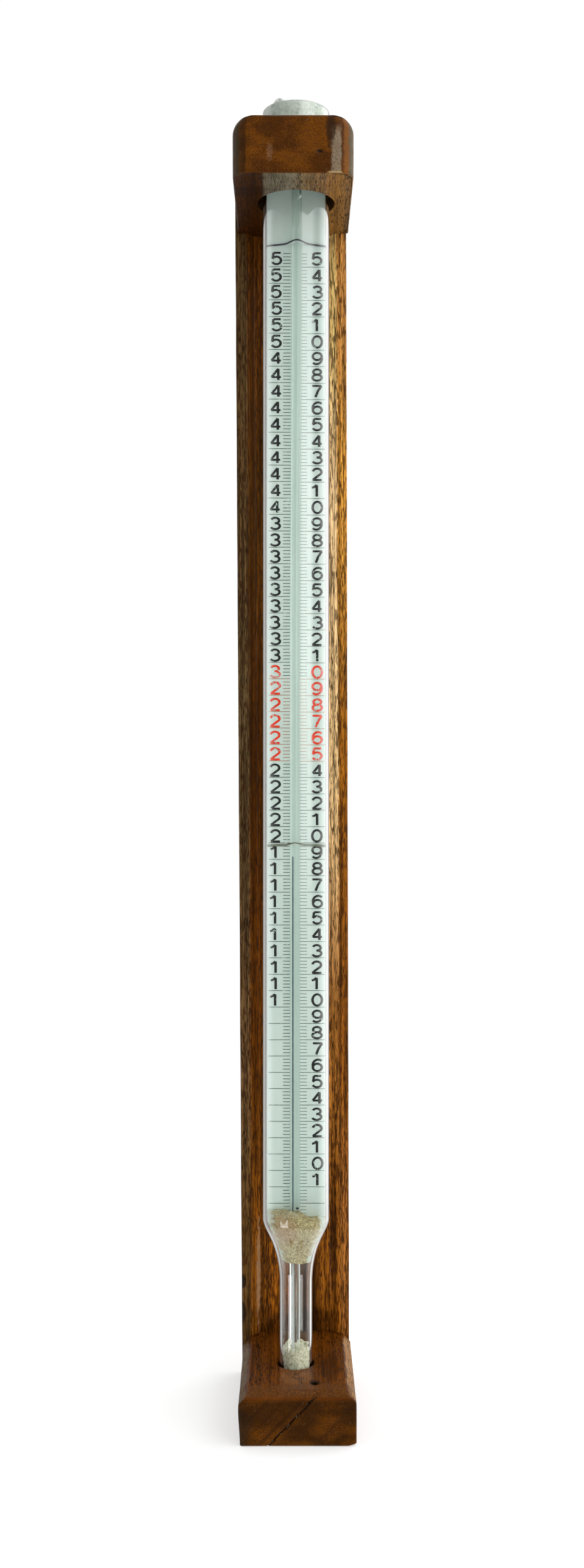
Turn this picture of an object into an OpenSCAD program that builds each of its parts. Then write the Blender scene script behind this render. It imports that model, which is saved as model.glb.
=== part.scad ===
// Enclosed-scale glass thermometer standing in a varnished wooden holder.
// Millimetres, +Z up. The origin is on the floor under the middle of the whole object, and the
// front of the holder faces -Y. The thermometer lifts straight out of the holder along +Z.

/* [Back board] */
// Height of the board and of the whole holder
holder_h = 570; // [560:1:580]
// Width of the board at its top end
board_top_w = 53; // [50:0.5:56]
// Width of the board at its bottom end
board_base_w = 51; // [50:0.5:56]
// Sideways place of the board's middle at its top end
board_top_x = -1; // [-2:0.1:2]
// Sideways place of the board's middle at its bottom end
board_base_x = 1.5; // [-2:0.1:2]
// Thickness of the board at its two long edges
board_t = 12; // [10:0.5:16]
// Depth of the trough down the front of the board
trough_depth = 4.2; // [3:0.1:6]
// Width of the flat strip left along each side of the trough
rail_w = 5; // [4:0.5:7]
// Width of the slope from each strip down to the trough floor
slope_w = 4; // [2:0.5:6]

/* [Blocks] */
// Depth of both blocks from their front face to the front of the board
block_depth = 74; // [70:0.5:80]
// Width of the top block
top_block_w = 52.4; // [48:0.2:54]
// Height of the top block
top_block_h = 25; // [20:0.5:28]
// Sideways place of the top block's middle
top_block_x = 0.2; // [-2:0.1:2]
// Radius of the top block's two upright front corners
top_corner_r = 7.5; // [4:0.5:10]
// Width of the base block
base_block_w = 51; // [48:0.2:54]
// Height of the base block
base_block_h = 22.3; // [19:0.1:26]
// Sideways place of the base block's middle
base_block_x = 2; // [-2:0.1:2]
// Radius of the base block's two upright front corners
base_corner_r = 2; // [1:0.5:6]
// Bevel along the upper side edges of both blocks
side_bevel = 4; // [2:0.2:5]
// Bevel along the upper front edge of the top block
top_front_bevel = 0.8; // [0.4:0.1:3]
// Depth from front to back of the base block's shallow front slope
base_slope_run = 5; // [3:0.5:8]
// Fall of the base block's shallow front slope
base_slope_drop = 1; // [0.6:0.1:2]
// Bevel round the foot of the base block and along the lower front edge of the top block
foot_bevel = 0.4; // [0.2:0.1:1.5]
// Radius of the bore that the thermometer passes through
bore_r = 17.2; // [16:0.1:18]
// Radius of the socket that the stem stands in
socket_r = 8.1; // [7.8:0.1:9]
// Wood left under the socket
socket_floor = 5.5; // [4:0.5:8]

/* [Holder screws] */
// Length of a countersunk screw
screw_len = 30; // [26:1:32]
// Radius of a screw's shank
screw_r = 2; // [1.5:0.1:2.5]
// Radius of a screw's head
screw_head_r = 4; // [3.5:0.1:5]
// Distance of each screw from the middle of its block
screw_spacing = 14; // [10:0.5:16]

/* [Thermometer] */
// Sideways place of the thermometer's axis
tube_x = 1.5; // [0.5:0.1:2]
// Distance of the thermometer's axis behind the front of the blocks
tube_setback = 37; // [34:0.5:40]
// Outer radius of the wide part of the glass envelope
tube_r = 15; // [14:0.1:15.5]
// Outer radius of the narrow stem
stem_r = 7.45; // [7:0.05:7.6]
// Thickness of the envelope's glass
glass_t = 1; // [0.8:0.05:1.2]
// Height of the envelope's cut rim
rim_z = 586; // [580:1:600]
// Height where the wide part starts to draw in
shoulder_z = 88; // [84:0.5:96]
// Height where the shoulder has become the stem
neck_z = 60; // [57:0.5:62]
// Gap between the rounded end of the stem and the socket's floor
stem_gap = 0.3; // [0.2:0.1:1]

/* [Scale] */
// Height of the zero line
zero_z = 109; // [105:0.5:115]
// Distance between two numbered lines
unit_h = 7.43; // [7:0.01:7.6]
// Reading at which the mercury stands
reading = 19.1; // [0:0.1:50]
// Width of the milk-glass plate
plate_w = 26.6; // [25:0.1:26.8]
// Thickness of the plate
plate_t = 2; // [1.5:0.1:2.5]
// Top of the plate
plate_top_z = 558; // [550:1:562]

/* [Capillary] */
// Outer radius of the capillary rod
rod_r = 2.3; // [2:0.1:2.6]
// Sideways place of the rod from the thermometer's axis
rod_x = -0.5; // [-1:0.1:1]
// Radius of the bore in the rod
capillary_r = 0.45; // [0.4:0.05:0.6]
// Sideways place of the bore from the rod's own axis
capillary_x = -0.6; // [-0.8:0.1:0.8]
// Radius of the mercury thread
thread_r = 0.28; // [0.2:0.02:0.3]
// Top of the rod
rod_top_z = 556; // [550:1:557]
// Top of the bore in the rod
bore_top_z = 544; // [530:1:545]
// Outer radius of the bulb at the rod's lower end
bulb_r = 2.8; // [2.6:0.1:2.9]
// Glass thickness of the bulb
bulb_t = 0.7; // [0.5:0.1:0.9]
// Thickness of the wires
wire_d = 0.5; // [0.4:0.05:0.55]
// Radius of the bead that holds the hanger wire to the rod
bead_r = 0.9; // [0.6:0.1:1.2]
// Height of the bead's middle
bead_z = 546.5; // [545:0.5:552]
// Turn of the bead and the hanger wire round the rod, from straight in front
bead_turn = 25; // [0:1:60]

/* [Packing] */
// Top and bottom of the packing in the shoulder
shoulder_packing_z = [67, 91]; // [60:1:95]
// Top of the packing in the stem
stem_packing_top_z = 31; // [26:1:40]
// Bottom of the plug in the envelope's mouth
plug_z = 560; // [556:1:566]
// Height that the plug bulges above the rim
plug_crown = 2.4; // [0.5:0.1:3]

/* [Hidden] */
// Drop below the shoulder of the curve's first control point, at the tube's full radius
wide_run = 5.5;
// The same for its second one, and how far that stands out from the stem's radius
narrow_run_z = 11;
narrow_run_r = 0.55;

$fn = 96;
eps = 0.01;          // overlap that lets one cut or piece run into the next
loose = 0.1;         // gap round a piece that lies against another
snug = 0.05;         // gap round a piece that fills its hole
curve_steps = 14;    // straight stretches in a drawn curve of the glass

front_y = -(block_depth + board_t) / 2;
rail_y = front_y + block_depth;
trough_y = rail_y + trough_depth;
back_y = rail_y + board_t;
tube_y = front_y + tube_setback;
top_block_z = holder_h - top_block_h;
stem_end_z = socket_floor + stem_gap;

top_screw_z = top_block_z + top_block_h / 2;
base_screw_z = base_block_h / 2;
screw_head_h = screw_head_r - screw_r;
screw_slot_w = 1.1;
screw_slot_depth = 1;
screw_point_len = 6;

plate_foot_z = shoulder_z + 0.5;
rod_y = -(plate_t / 2 + rod_r + loose);
bulb_low_z = stem_end_z + stem_r - 0.5;
bulb_high_z = bulb_low_z + 11.5;
reading_z = zero_z + reading * unit_h;
meniscus_h = 1;
thread_foot_z = bulb_high_z + bulb_r - bulb_t;
upper_wire_z = zero_z + 56.3 * unit_h;
lower_wire_z = zero_z + 19.8 * unit_h;

// ---- wooden holder ----

// Middle and half width of the board at a height: it tapers and leans slightly
function along(base, top, z) = base + (top - base) * z / holder_h;
function board_edge(side, z, inset) =
    along(board_base_x, board_top_x, z) + side * (along(board_base_w, board_top_w, z) / 2 - inset);

// Upright sheet with the board's outline, set in from both long edges
module board_sheet(y, t, inset, z0, z1)
    translate([0, y + t, 0])
        rotate([90, 0, 0])
            linear_extrude(t)
                polygon([
                    [board_edge(-1, z0, inset), z0], [board_edge(1, z0, inset), z0],
                    [board_edge(1, z1, inset), z1], [board_edge(-1, z1, inset), z1]
                ]);

// Space of the trough between two heights, narrowing towards its floor
module trough(z0, z1, gap = 0)
    hull() {
        board_sheet(rail_y - eps, eps, rail_w + gap, z0, z1);
        board_sheet(trough_y - gap - eps, eps, rail_w + slope_w + gap, z0, z1);
    }

// One countersunk hole from the back, or the outline of one screw when grow is 0
module screw_space(x, z, grow)
    translate([x, back_y, z])
        rotate([90, 0, 0]) {
            cylinder(r1 = screw_head_r + grow, r2 = screw_r + grow, h = screw_head_h);
            cylinder(r = screw_r + grow, h = screw_len - screw_point_len + grow);
            translate([0, 0, screw_len - screw_point_len])
                cylinder(r1 = screw_r + grow, r2 = 0.3 + grow, h = screw_point_len + grow);
        }

module screw_holes(block_x, z)
    for (side = [-1, 1])
        screw_space(block_x + side * screw_spacing, z, snug);

module screws(block_x, z)
    for (side = [-1, 1])
        difference() {
            screw_space(block_x + side * screw_spacing, z, 0);
            translate([block_x + side * screw_spacing, back_y, z])
                cube([2 * screw_head_r, 2 * screw_slot_depth, screw_slot_w], center = true);
        }

module back_board()
    color("peru")
        difference() {
            board_sheet(rail_y, board_t, 0, 0, holder_h);
            trough(-1, holder_h + 1);
            screw_holes(top_block_x, top_screw_z);
            screw_holes(base_block_x, base_screw_z);
        }

// Plan of a block: square at the board, round at the two front corners
module block_plan(w, r) {
    translate([-w / 2, front_y + r])
        square([w, block_depth - r]);
    translate([-w / 2 + r, front_y])
        square([w - 2 * r, block_depth]);
    for (side = [-1, 1])
        translate([side * (w / 2 - r), front_y + r])
            circle(r);
}

// Square bar standing on its edge: it cuts a 45 degree bevel of the given size
module bevel_bar(size, along_y) {
    length = 4 * block_depth;
    rotate(along_y ? [0, 45, 0] : [45, 0, 0])
        cube(along_y ? [size * sqrt(2), length, size * sqrt(2)]
                     : [length, size * sqrt(2), size * sqrt(2)], center = true);
}

module side_bevels(w, size, z)
    for (side = [-1, 1])
        translate([side * w / 2, 0, z])
            bevel_bar(size, true);

module front_edge_bevel(size, z)
    translate([0, front_y, z])
        bevel_bar(size, false);

// Cuts away what lies over a line that runs back and up from the front face to the given height
module front_slope(run, drop, z)
    translate([0, front_y, z])
        rotate([90, 0, 90])
            linear_extrude(4 * block_depth, center = true)
                polygon([[-run, -2 * drop], [2 * run, drop], [-run, drop]]);

module top_block()
    color("saddlebrown")
        difference() {
            union() {
                translate([top_block_x, 0, top_block_z])
                    linear_extrude(top_block_h)
                        block_plan(top_block_w, top_corner_r);
                trough(top_block_z, holder_h, loose);
            }
            translate([top_block_x, 0, 0]) {
                side_bevels(top_block_w, side_bevel, holder_h);
                front_edge_bevel(top_front_bevel, holder_h);
                front_edge_bevel(foot_bevel, top_block_z);
            }
            translate([tube_x, tube_y, top_block_z - 1])
                cylinder(r = bore_r, h = top_block_h + 2);
            screw_holes(top_block_x, top_screw_z);
        }

module base_block()
    color("saddlebrown")
        difference() {
            union() {
                translate([base_block_x, 0, 0])
                    linear_extrude(base_block_h)
                        block_plan(base_block_w, base_corner_r);
                trough(0, base_block_h, loose);
            }
            translate([base_block_x, 0, 0]) {
                side_bevels(base_block_w, side_bevel, base_block_h);
                front_slope(base_slope_run, base_slope_drop, base_block_h);
                front_edge_bevel(foot_bevel, 0);
            }
            translate([tube_x, tube_y, socket_floor])
                cylinder(r = socket_r, h = base_block_h);
            screw_holes(base_block_x, base_screw_z);
        }

module top_block_screws()
    color("lightsteelblue")
        screws(top_block_x, top_screw_z);

module base_block_screws()
    color("lightsteelblue")
        screws(base_block_x, base_screw_z);

// ---- thermometer ----

module on_axis()
    translate([tube_x, tube_y, 0])
        children();

module on_rod()
    translate([tube_x + rod_x, tube_y + rod_y, 0])
        children();

module on_bore(z)
    on_rod()
        translate([capillary_x, 0, z])
            children();

// Place in front of the rod where the bead sits
module on_bead(z)
    on_rod()
        rotate([0, 0, bead_turn])
            translate([0, -(rod_r + bead_r + loose), z])
                children();

// Point on the cubic curve that four control points draw
function bezier(p, t) =
    pow(1 - t, 3) * p[0] + 3 * pow(1 - t, 2) * t * p[1] + 3 * (1 - t) * t * t * p[2] + pow(t, 3) * p[3];

// One side of the envelope from the rim down to the axis at the stem's round end, set in by a depth
function envelope_side(inset) =
    let (wide = tube_r - inset, narrow = stem_r - inset)
    let (draw = [[wide, shoulder_z], [wide, shoulder_z - wide_run],
                 [narrow + narrow_run_r, shoulder_z - narrow_run_z], [narrow, neck_z]])
    concat(
        [[wide, rim_z]],
        [for (i = [0 : curve_steps]) bezier(draw, i / curve_steps)],
        [for (i = [0 : curve_steps - 1]) let (a = 90 * i / curve_steps)
            [narrow * cos(a), stem_end_z + stem_r - narrow * sin(a)]],
        [[0, stem_end_z + inset]]
    );

function reversed(list) = [for (i = [len(list) - 1 : -1 : 0]) list[i]];

module glass_envelope()
    color("azure", 0.4)
        on_axis()
            rotate_extrude()
                polygon(concat(envelope_side(0), reversed(envelope_side(glass_t))));

// Everything inside the envelope between two heights, a little clear of the glass
module inside(z0, z1)
    intersection() {
        rotate_extrude()
            polygon(concat([[0, rim_z]], envelope_side(glass_t + loose)));
        translate([-tube_r, -tube_r, z0])
            cube([2 * tube_r, 2 * tube_r, z1 - z0]);
    }

module scale_plate()
    color("honeydew")
        on_axis()
            translate([-plate_w / 2, -plate_t / 2, plate_foot_z])
                cube([plate_w, plate_t, plate_top_z - plate_foot_z]);

// Long round bulb: the outside of the glass, or its hollow when shrunk
module bulb(shrink) {
    r = bulb_r - shrink;
    for (z = [bulb_low_z, bulb_high_z])
        translate([0, 0, z])
            sphere(r);
    translate([0, 0, bulb_low_z])
        cylinder(r = r, h = bulb_high_z - bulb_low_z);
}

module capillary_tube()
    color("lightcyan", 0.6)
        difference() {
            on_rod() {
                bulb(0);
                translate([0, 0, bulb_high_z])
                    cylinder(r = rod_r, h = rod_top_z - bulb_high_z);
                translate([0, 0, rod_top_z])
                    sphere(rod_r);
            }
            on_rod()
                bulb(bulb_t);
            on_bore(bulb_high_z)
                cylinder(r = capillary_r, h = bore_top_z - bulb_high_z);
        }

module mercury_reservoir()
    color("silver")
        on_rod()
            bulb(bulb_t + snug);

module mercury_thread()
    color("slategray")
        on_bore(thread_foot_z)
            cylinder(r = thread_r, h = reading_z - meniscus_h - thread_foot_z, $fn = 24);

module mercury_meniscus()
    color("slategray") {
        on_bore(reading_z - meniscus_h)
            cylinder(r = thread_r, h = meniscus_h - thread_r, $fn = 24);
        on_bore(reading_z - thread_r)
            sphere(thread_r, $fn = 24);
    }

// Outline that a wire pulled round the plate and the rod follows
module bound_outline()
    hull() {
        square([plate_w, plate_t], center = true);
        translate([rod_x, rod_y])
            circle(rod_r, $fn = 32);
    }

module binding_wire(z)
    on_axis()
        translate([0, 0, z - wire_d / 2])
            linear_extrude(wire_d)
                difference() {
                    offset(r = wire_d, $fn = 32)
                        bound_outline();
                    offset(delta = eps)
                        bound_outline();
                }

module upper_binding_wire()
    color("dimgray")
        binding_wire(upper_wire_z);

module lower_binding_wire()
    color("olive")
        binding_wire(lower_wire_z);

// Straight wire that comes down out of the plug and ends inside the bead
module hanger_wire()
    color("dimgray")
        on_bead(bead_z)
            cylinder(d = wire_d, h = plug_z - bead_z, $fn = 24);

module hanger_bead()
    color("whitesmoke")
        difference() {
            on_bead(bead_z)
                sphere(bead_r);
            on_bead(bead_z - snug)
                cylinder(d = wire_d + 2 * snug, h = 2 * bead_r, $fn = 24);
        }

module shoulder_packing()
    color("burlywood")
        difference() {
            on_axis()
                inside(shoulder_packing_z[0], shoulder_packing_z[1]);
            on_axis()
                translate([-plate_w / 2 - loose, -plate_t / 2 - loose, plate_foot_z - loose])
                    cube([plate_w + 2 * loose, plate_t + 2 * loose, tube_r]);
            on_rod()
                cylinder(r = rod_r + loose, h = rim_z);
        }

module stem_packing()
    color("whitesmoke")
        difference() {
            on_axis()
                inside(0, stem_packing_top_z);
            on_rod() {
                bulb(-loose);
                cylinder(r = rod_r + loose, h = rim_z);
            }
        }

module top_plug()
    color("ivory")
        on_axis() {
            plug_r = tube_r - glass_t - loose;
            dome_r = (plug_r * plug_r + plug_crown * plug_crown) / (2 * plug_crown);
            translate([0, 0, plug_z])
                cylinder(r = plug_r, h = rim_z - plug_z);
            intersection() {
                translate([0, 0, rim_z + plug_crown - dome_r])
                    sphere(dome_r);
                translate([0, 0, rim_z - 1])
                    cylinder(r = plug_r, h = plug_crown + 2);
            }
        }

back_board();
top_block();
base_block();
top_block_screws();
base_block_screws();
glass_envelope();
scale_plate();
capillary_tube();
mercury_reservoir();
mercury_thread();
mercury_meniscus();
upper_binding_wire();
lower_binding_wire();
hanger_wire();
hanger_bead();
shoulder_packing();
stem_packing();
top_plug();
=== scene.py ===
"""Looks of an enclosed-scale glass thermometer that stands in a varnished wooden holder.

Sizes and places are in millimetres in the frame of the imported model: +Z up, -Y out of the front.
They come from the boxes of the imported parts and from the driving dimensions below.
"""

import math

import bmesh
import bpy
from mathutils import Matrix, Vector, noise


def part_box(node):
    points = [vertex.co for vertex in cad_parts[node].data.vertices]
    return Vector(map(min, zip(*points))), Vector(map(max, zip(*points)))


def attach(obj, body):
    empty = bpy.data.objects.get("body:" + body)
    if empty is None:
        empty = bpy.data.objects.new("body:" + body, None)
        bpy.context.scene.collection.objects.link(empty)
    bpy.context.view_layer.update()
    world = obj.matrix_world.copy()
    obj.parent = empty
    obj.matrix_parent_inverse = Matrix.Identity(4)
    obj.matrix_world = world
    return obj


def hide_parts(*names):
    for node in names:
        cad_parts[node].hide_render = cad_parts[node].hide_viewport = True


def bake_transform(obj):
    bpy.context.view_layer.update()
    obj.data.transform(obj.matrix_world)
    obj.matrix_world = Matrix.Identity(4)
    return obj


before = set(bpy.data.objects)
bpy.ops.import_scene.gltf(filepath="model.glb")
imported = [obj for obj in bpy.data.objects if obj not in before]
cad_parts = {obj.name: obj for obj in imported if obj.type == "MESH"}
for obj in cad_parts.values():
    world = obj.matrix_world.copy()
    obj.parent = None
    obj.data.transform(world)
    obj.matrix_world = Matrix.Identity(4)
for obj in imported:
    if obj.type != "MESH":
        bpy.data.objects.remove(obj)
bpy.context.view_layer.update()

MM = 0.001
TAU = 2 * math.pi
CREASE = math.radians(50)


def span(node):
    """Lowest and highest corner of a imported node, in millimetres."""
    low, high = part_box(node)
    return low / MM, high / MM


def middle(node):
    """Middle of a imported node, in millimetres."""
    low, high = span(node)
    return (low + high) / 2


# ---- driving dimensions ----

BOARD_LOW, BOARD_HIGH = span("back_board")
TOP_LOW = span("top_block")[0]
BASE_HIGH = span("base_block")[1]
TUBE_LOW, TUBE_HIGH = span("glass_envelope")
PLATE_LOW, PLATE_HIGH = span("scale_plate")
ROD_LOW, ROD_HIGH = span("capillary_tube")
THREAD_LOW, THREAD_HIGH = span("mercury_thread")

TUBE = middle("glass_envelope")
ROD = middle("capillary_tube")
BORE = middle("mercury_thread")
TUBE_R = (TUBE_HIGH.x - TUBE_LOW.x) / 2
RIM_Z = TUBE_HIGH.z
STEM_END_Z = TUBE_LOW.z

BOARD_BASE_W = 51
BOARD_TOP_W = 53
BOARD_BASE_X = 1.5
BOARD_TOP_X = -1
RAIL_W = 5
SLOPE_W = 4
TROUGH_DEPTH = 4.2
HOLDER_H = BOARD_HIGH.z
RAIL_Y = BOARD_LOW.y
BACK_Y = BOARD_HIGH.y
FRONT_Y = TOP_LOW.y

SIDE_BEVEL = 4
SHOULDER_ROUND = 6.4
TOP_FRONT_BEVEL = 0.8
BASE_SLOPE_RUN = 5
BASE_SLOPE_DROP = 1
FOOT_BEVEL = 0.4
TOP_CORNER_R = 7.5
BASE_CORNER_R = 1.2
BORE_HOLE_R = 17.2
SOCKET_R = 8.1
SOCKET_FLOOR = 5.5
TOP_BLOCK_W = 52.4
TOP_BLOCK_X = 0.2
BASE_BLOCK_W = 51
BASE_BLOCK_X = 2
BASE_TILT = 1.4
CRACK_HEAD_X = 11
CRACK_FOOT_X = -10.8
CRACK_WAVE = 0.25
CRACK_TURN = 0.9
NAIL_HOLE = (9.5, -31)
NICK_X = 11.7
NICK_Z = 554.5

GLASS_T = 1
STEM_R = 7.45
SHOULDER_Z = 88
NECK_Z = 60
WIDE_RUN = 5.5
NARROW_RUN_Z = 11
NARROW_RUN_R = 0.55
ROD_R = 2.3
BULB_R = 2.8
BULB_T = 0.7
BULB_LOW_Z = ROD_LOW.z + BULB_R
BULB_HIGH_Z = BULB_LOW_Z + 11.5
BORE_TOP_Z = 544
FINE_BORE_R = 0.22
FINE_THREAD_R = 0.17

ZERO_Z = 108.78
UNIT_H = 7.395
TOP_READING = 55
LOWEST_LINE = -2
RED_READINGS = range(25, 31)


# ---- small sums ----


def lerp(a, b, t):
    """The value a share t of the way from a to b."""
    return a + (b - a) * t


def smoothstep(low, high, x):
    """Rises smoothly from 0 at low to 1 at high."""
    t = min(max((x - low) / (high - low), 0), 1)
    return t * t * (3 - 2 * t)


def soft(x, k):
    """Rises like max(x, 0), rounded over about k."""
    return (x + math.sqrt(x * x + k * k)) / 2


def bezier(p, t):
    """Point on the cubic curve that four control points draw."""
    s = 1 - t
    return s**3 * p[0] + 3 * s * s * t * p[1] + 3 * s * t * t * p[2] + t**3 * p[3]


def steps(low, high, pace):
    """Evenly spaced values from low to high, about pace apart."""
    n = max(1, round(abs(high - low) / pace))
    return [lerp(low, high, i / n) for i in range(n + 1)]


def turned(r, a, x=0, y=0):
    """The point at a radius and an angle round x, y."""
    return x + r * math.cos(a), y + r * math.sin(a)


def rough(x, y, z, size):
    """Smooth noise from about -1 to 1 that changes over the given size."""
    return noise.noise(Vector((x, y, z)) / size)


# ---- mesh building ----


def mesh_object(name, verts, faces):
    """A mesh object from points in millimetres, welded and smooth."""
    mesh = bpy.data.meshes.new(name)
    mesh.from_pydata([Vector(v) * MM for v in verts], [], faces)
    obj = bpy.data.objects.new(name, mesh)
    bpy.context.scene.collection.objects.link(obj)
    clean(mesh)
    return obj


def make(name, verts, faces, material, body, slot, replaces=()):
    """One piece that rides on a CAD body and may take the place of CAD nodes."""
    obj = mesh_object(name, verts, faces)
    obj.data.materials.append(material)
    if body:
        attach(obj, body)
    if replaces:
        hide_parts(*replaces)
    return obj


def clean(mesh):
    """Welds coincident points, turns the faces outwards and sets smooth shading with sharp creases."""
    bm = bmesh.new()
    bm.from_mesh(mesh)
    bmesh.ops.remove_doubles(bm, verts=bm.verts, dist=0.002 * MM)
    bmesh.ops.dissolve_degenerate(bm, edges=bm.edges, dist=0.001 * MM)
    bmesh.ops.recalc_face_normals(bm, faces=bm.faces)
    bm.to_mesh(mesh)
    bm.free()
    mesh.shade_smooth()
    mesh.set_sharp_from_angle(angle=CREASE)


def grid(rows, columns):
    """Faces that join rows of points, each row closed into a ring."""
    faces = []
    for r in range(rows - 1):
        for c in range(columns):
            a = r * columns + c
            b = r * columns + (c + 1) % columns
            faces.append((a, b, b + columns, a + columns))
    return faces


def bow(r, z, low, high, pace, x=0):
    """Part of a circle round a point of a profile, from a low to a high angle."""
    return [turned(r, a, x, z) for a in steps(low, high, pace)]


def lathe(profile, centre, turns, worn=None):
    """Points and faces of a profile of (radius, height) turned round an upright axis."""
    verts = []
    for r, z in profile:
        for i in range(turns):
            a = TAU * i / turns
            rr = r + worn(a, r, z) if worn else r
            verts.append((*turned(rr, a, centre.x, centre.y), z))
    return verts, grid(len(profile), turns)


def sweep(path, radius, sides=10):
    """Points and faces of a tube along a path. radius is a number or a function of the share done."""
    points = [Vector(p) for p in path]
    verts = []
    across = Vector((0, 0, 1))
    for i, p in enumerate(points):
        ahead = points[min(i + 1, len(points) - 1)] - points[max(i - 1, 0)]
        ahead.normalize()
        if abs(ahead.dot(across)) > 0.9:
            across = Vector((1, 0, 0))
        across = (across - ahead * across.dot(ahead)).normalized()
        other = ahead.cross(across)
        r = radius(i / (len(points) - 1)) if callable(radius) else radius
        for k in range(sides):
            a = TAU * k / sides
            verts.append(p + (across * math.cos(a) + other * math.sin(a)) * r)
    ends = [tuple(range(sides)), tuple(range(len(verts) - sides, len(verts)))]
    return verts, grid(len(points), sides) + ends


def curve_through(points, pace=6):
    """Smooth path through a few given points."""
    p = [Vector(q) for q in points]
    p = [2 * p[0] - p[1], *p, 2 * p[-1] - p[-2]]
    path = []
    for a, b, c, d in zip(p, p[1:], p[2:], p[3:]):
        for i in range(pace):
            t = i / pace
            path.append(
                0.5 * ((2 * b) + (c - a) * t + (2 * a - 5 * b + 4 * c - d) * t * t
                       + (3 * b - a - 3 * c + d) * t**3)
            )
    return [*path, p[-2]]


def joined(*parts):
    """Several (points, faces) pairs as one pair."""
    verts, faces = [], []
    for v, f in parts:
        faces += [tuple(i + len(verts) for i in face) for face in f]
        verts += list(v)
    return verts, faces


def carve(obj, cutters):
    """Takes each cutter's shape out of obj, and then removes the cutters."""
    for cutter in cutters:
        cut = obj.modifiers.new("cut", "BOOLEAN")
        cut.operation = "DIFFERENCE"
        cut.solver = "EXACT"
        cut.object = cutter
        seen = obj.evaluated_get(bpy.context.evaluated_depsgraph_get())
        result = bpy.data.meshes.new_from_object(seen)
        obj.modifiers.clear()
        obj.data = result
        bpy.data.objects.remove(cutter)
    obj.data.set_sharp_from_angle(angle=CREASE)


# ---- materials ----


def srgb(red, green, blue):
    """Linear colour of an sRGB colour given in 0 to 255."""
    def linear(c):
        c /= 255
        return c / 12.92 if c <= 0.04045 else ((c + 0.055) / 1.055) ** 2.4
    return (linear(red), linear(green), linear(blue), 1)


class NodeTree:
    """Adds nodes to a shader tree. Every sum takes numbers or other nodes' outputs."""

    def __init__(self, owner):
        owner.use_nodes = True
        self.tree = owner.node_tree

    def put(self, socket, value):
        if isinstance(value, bpy.types.NodeSocket):
            self.tree.links.new(value, socket)
        else:
            socket.default_value = value

    def node(self, kind, inputs, **settings):
        made = self.tree.nodes.new("ShaderNode" + kind)
        for key, value in settings.items():
            setattr(made, key, value)
        for key, value in inputs.items():
            self.put(made.inputs[key], value)
        return made

    def spread(self, factor, low, high, to_low=0, to_high=1):
        """Factor from low to high mapped smoothly and clamped to another range."""
        inputs = {0: factor, 1: low, 2: high, 3: to_low, 4: to_high}
        return self.node("MapRange", inputs, interpolation_type="SMOOTHSTEP").outputs[0]

    def calc(self, operation, a, b=0):
        return self.node("Math", {0: a, 1: b}, operation=operation).outputs[0]

    def plus(self, a, b):
        return self.calc("ADD", a, b)

    def minus(self, a, b):
        return self.calc("SUBTRACT", a, b)

    def times(self, a, b):
        return self.calc("MULTIPLY", a, b)

    def most(self, a, b):
        return self.calc("MAXIMUM", a, b)


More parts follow.
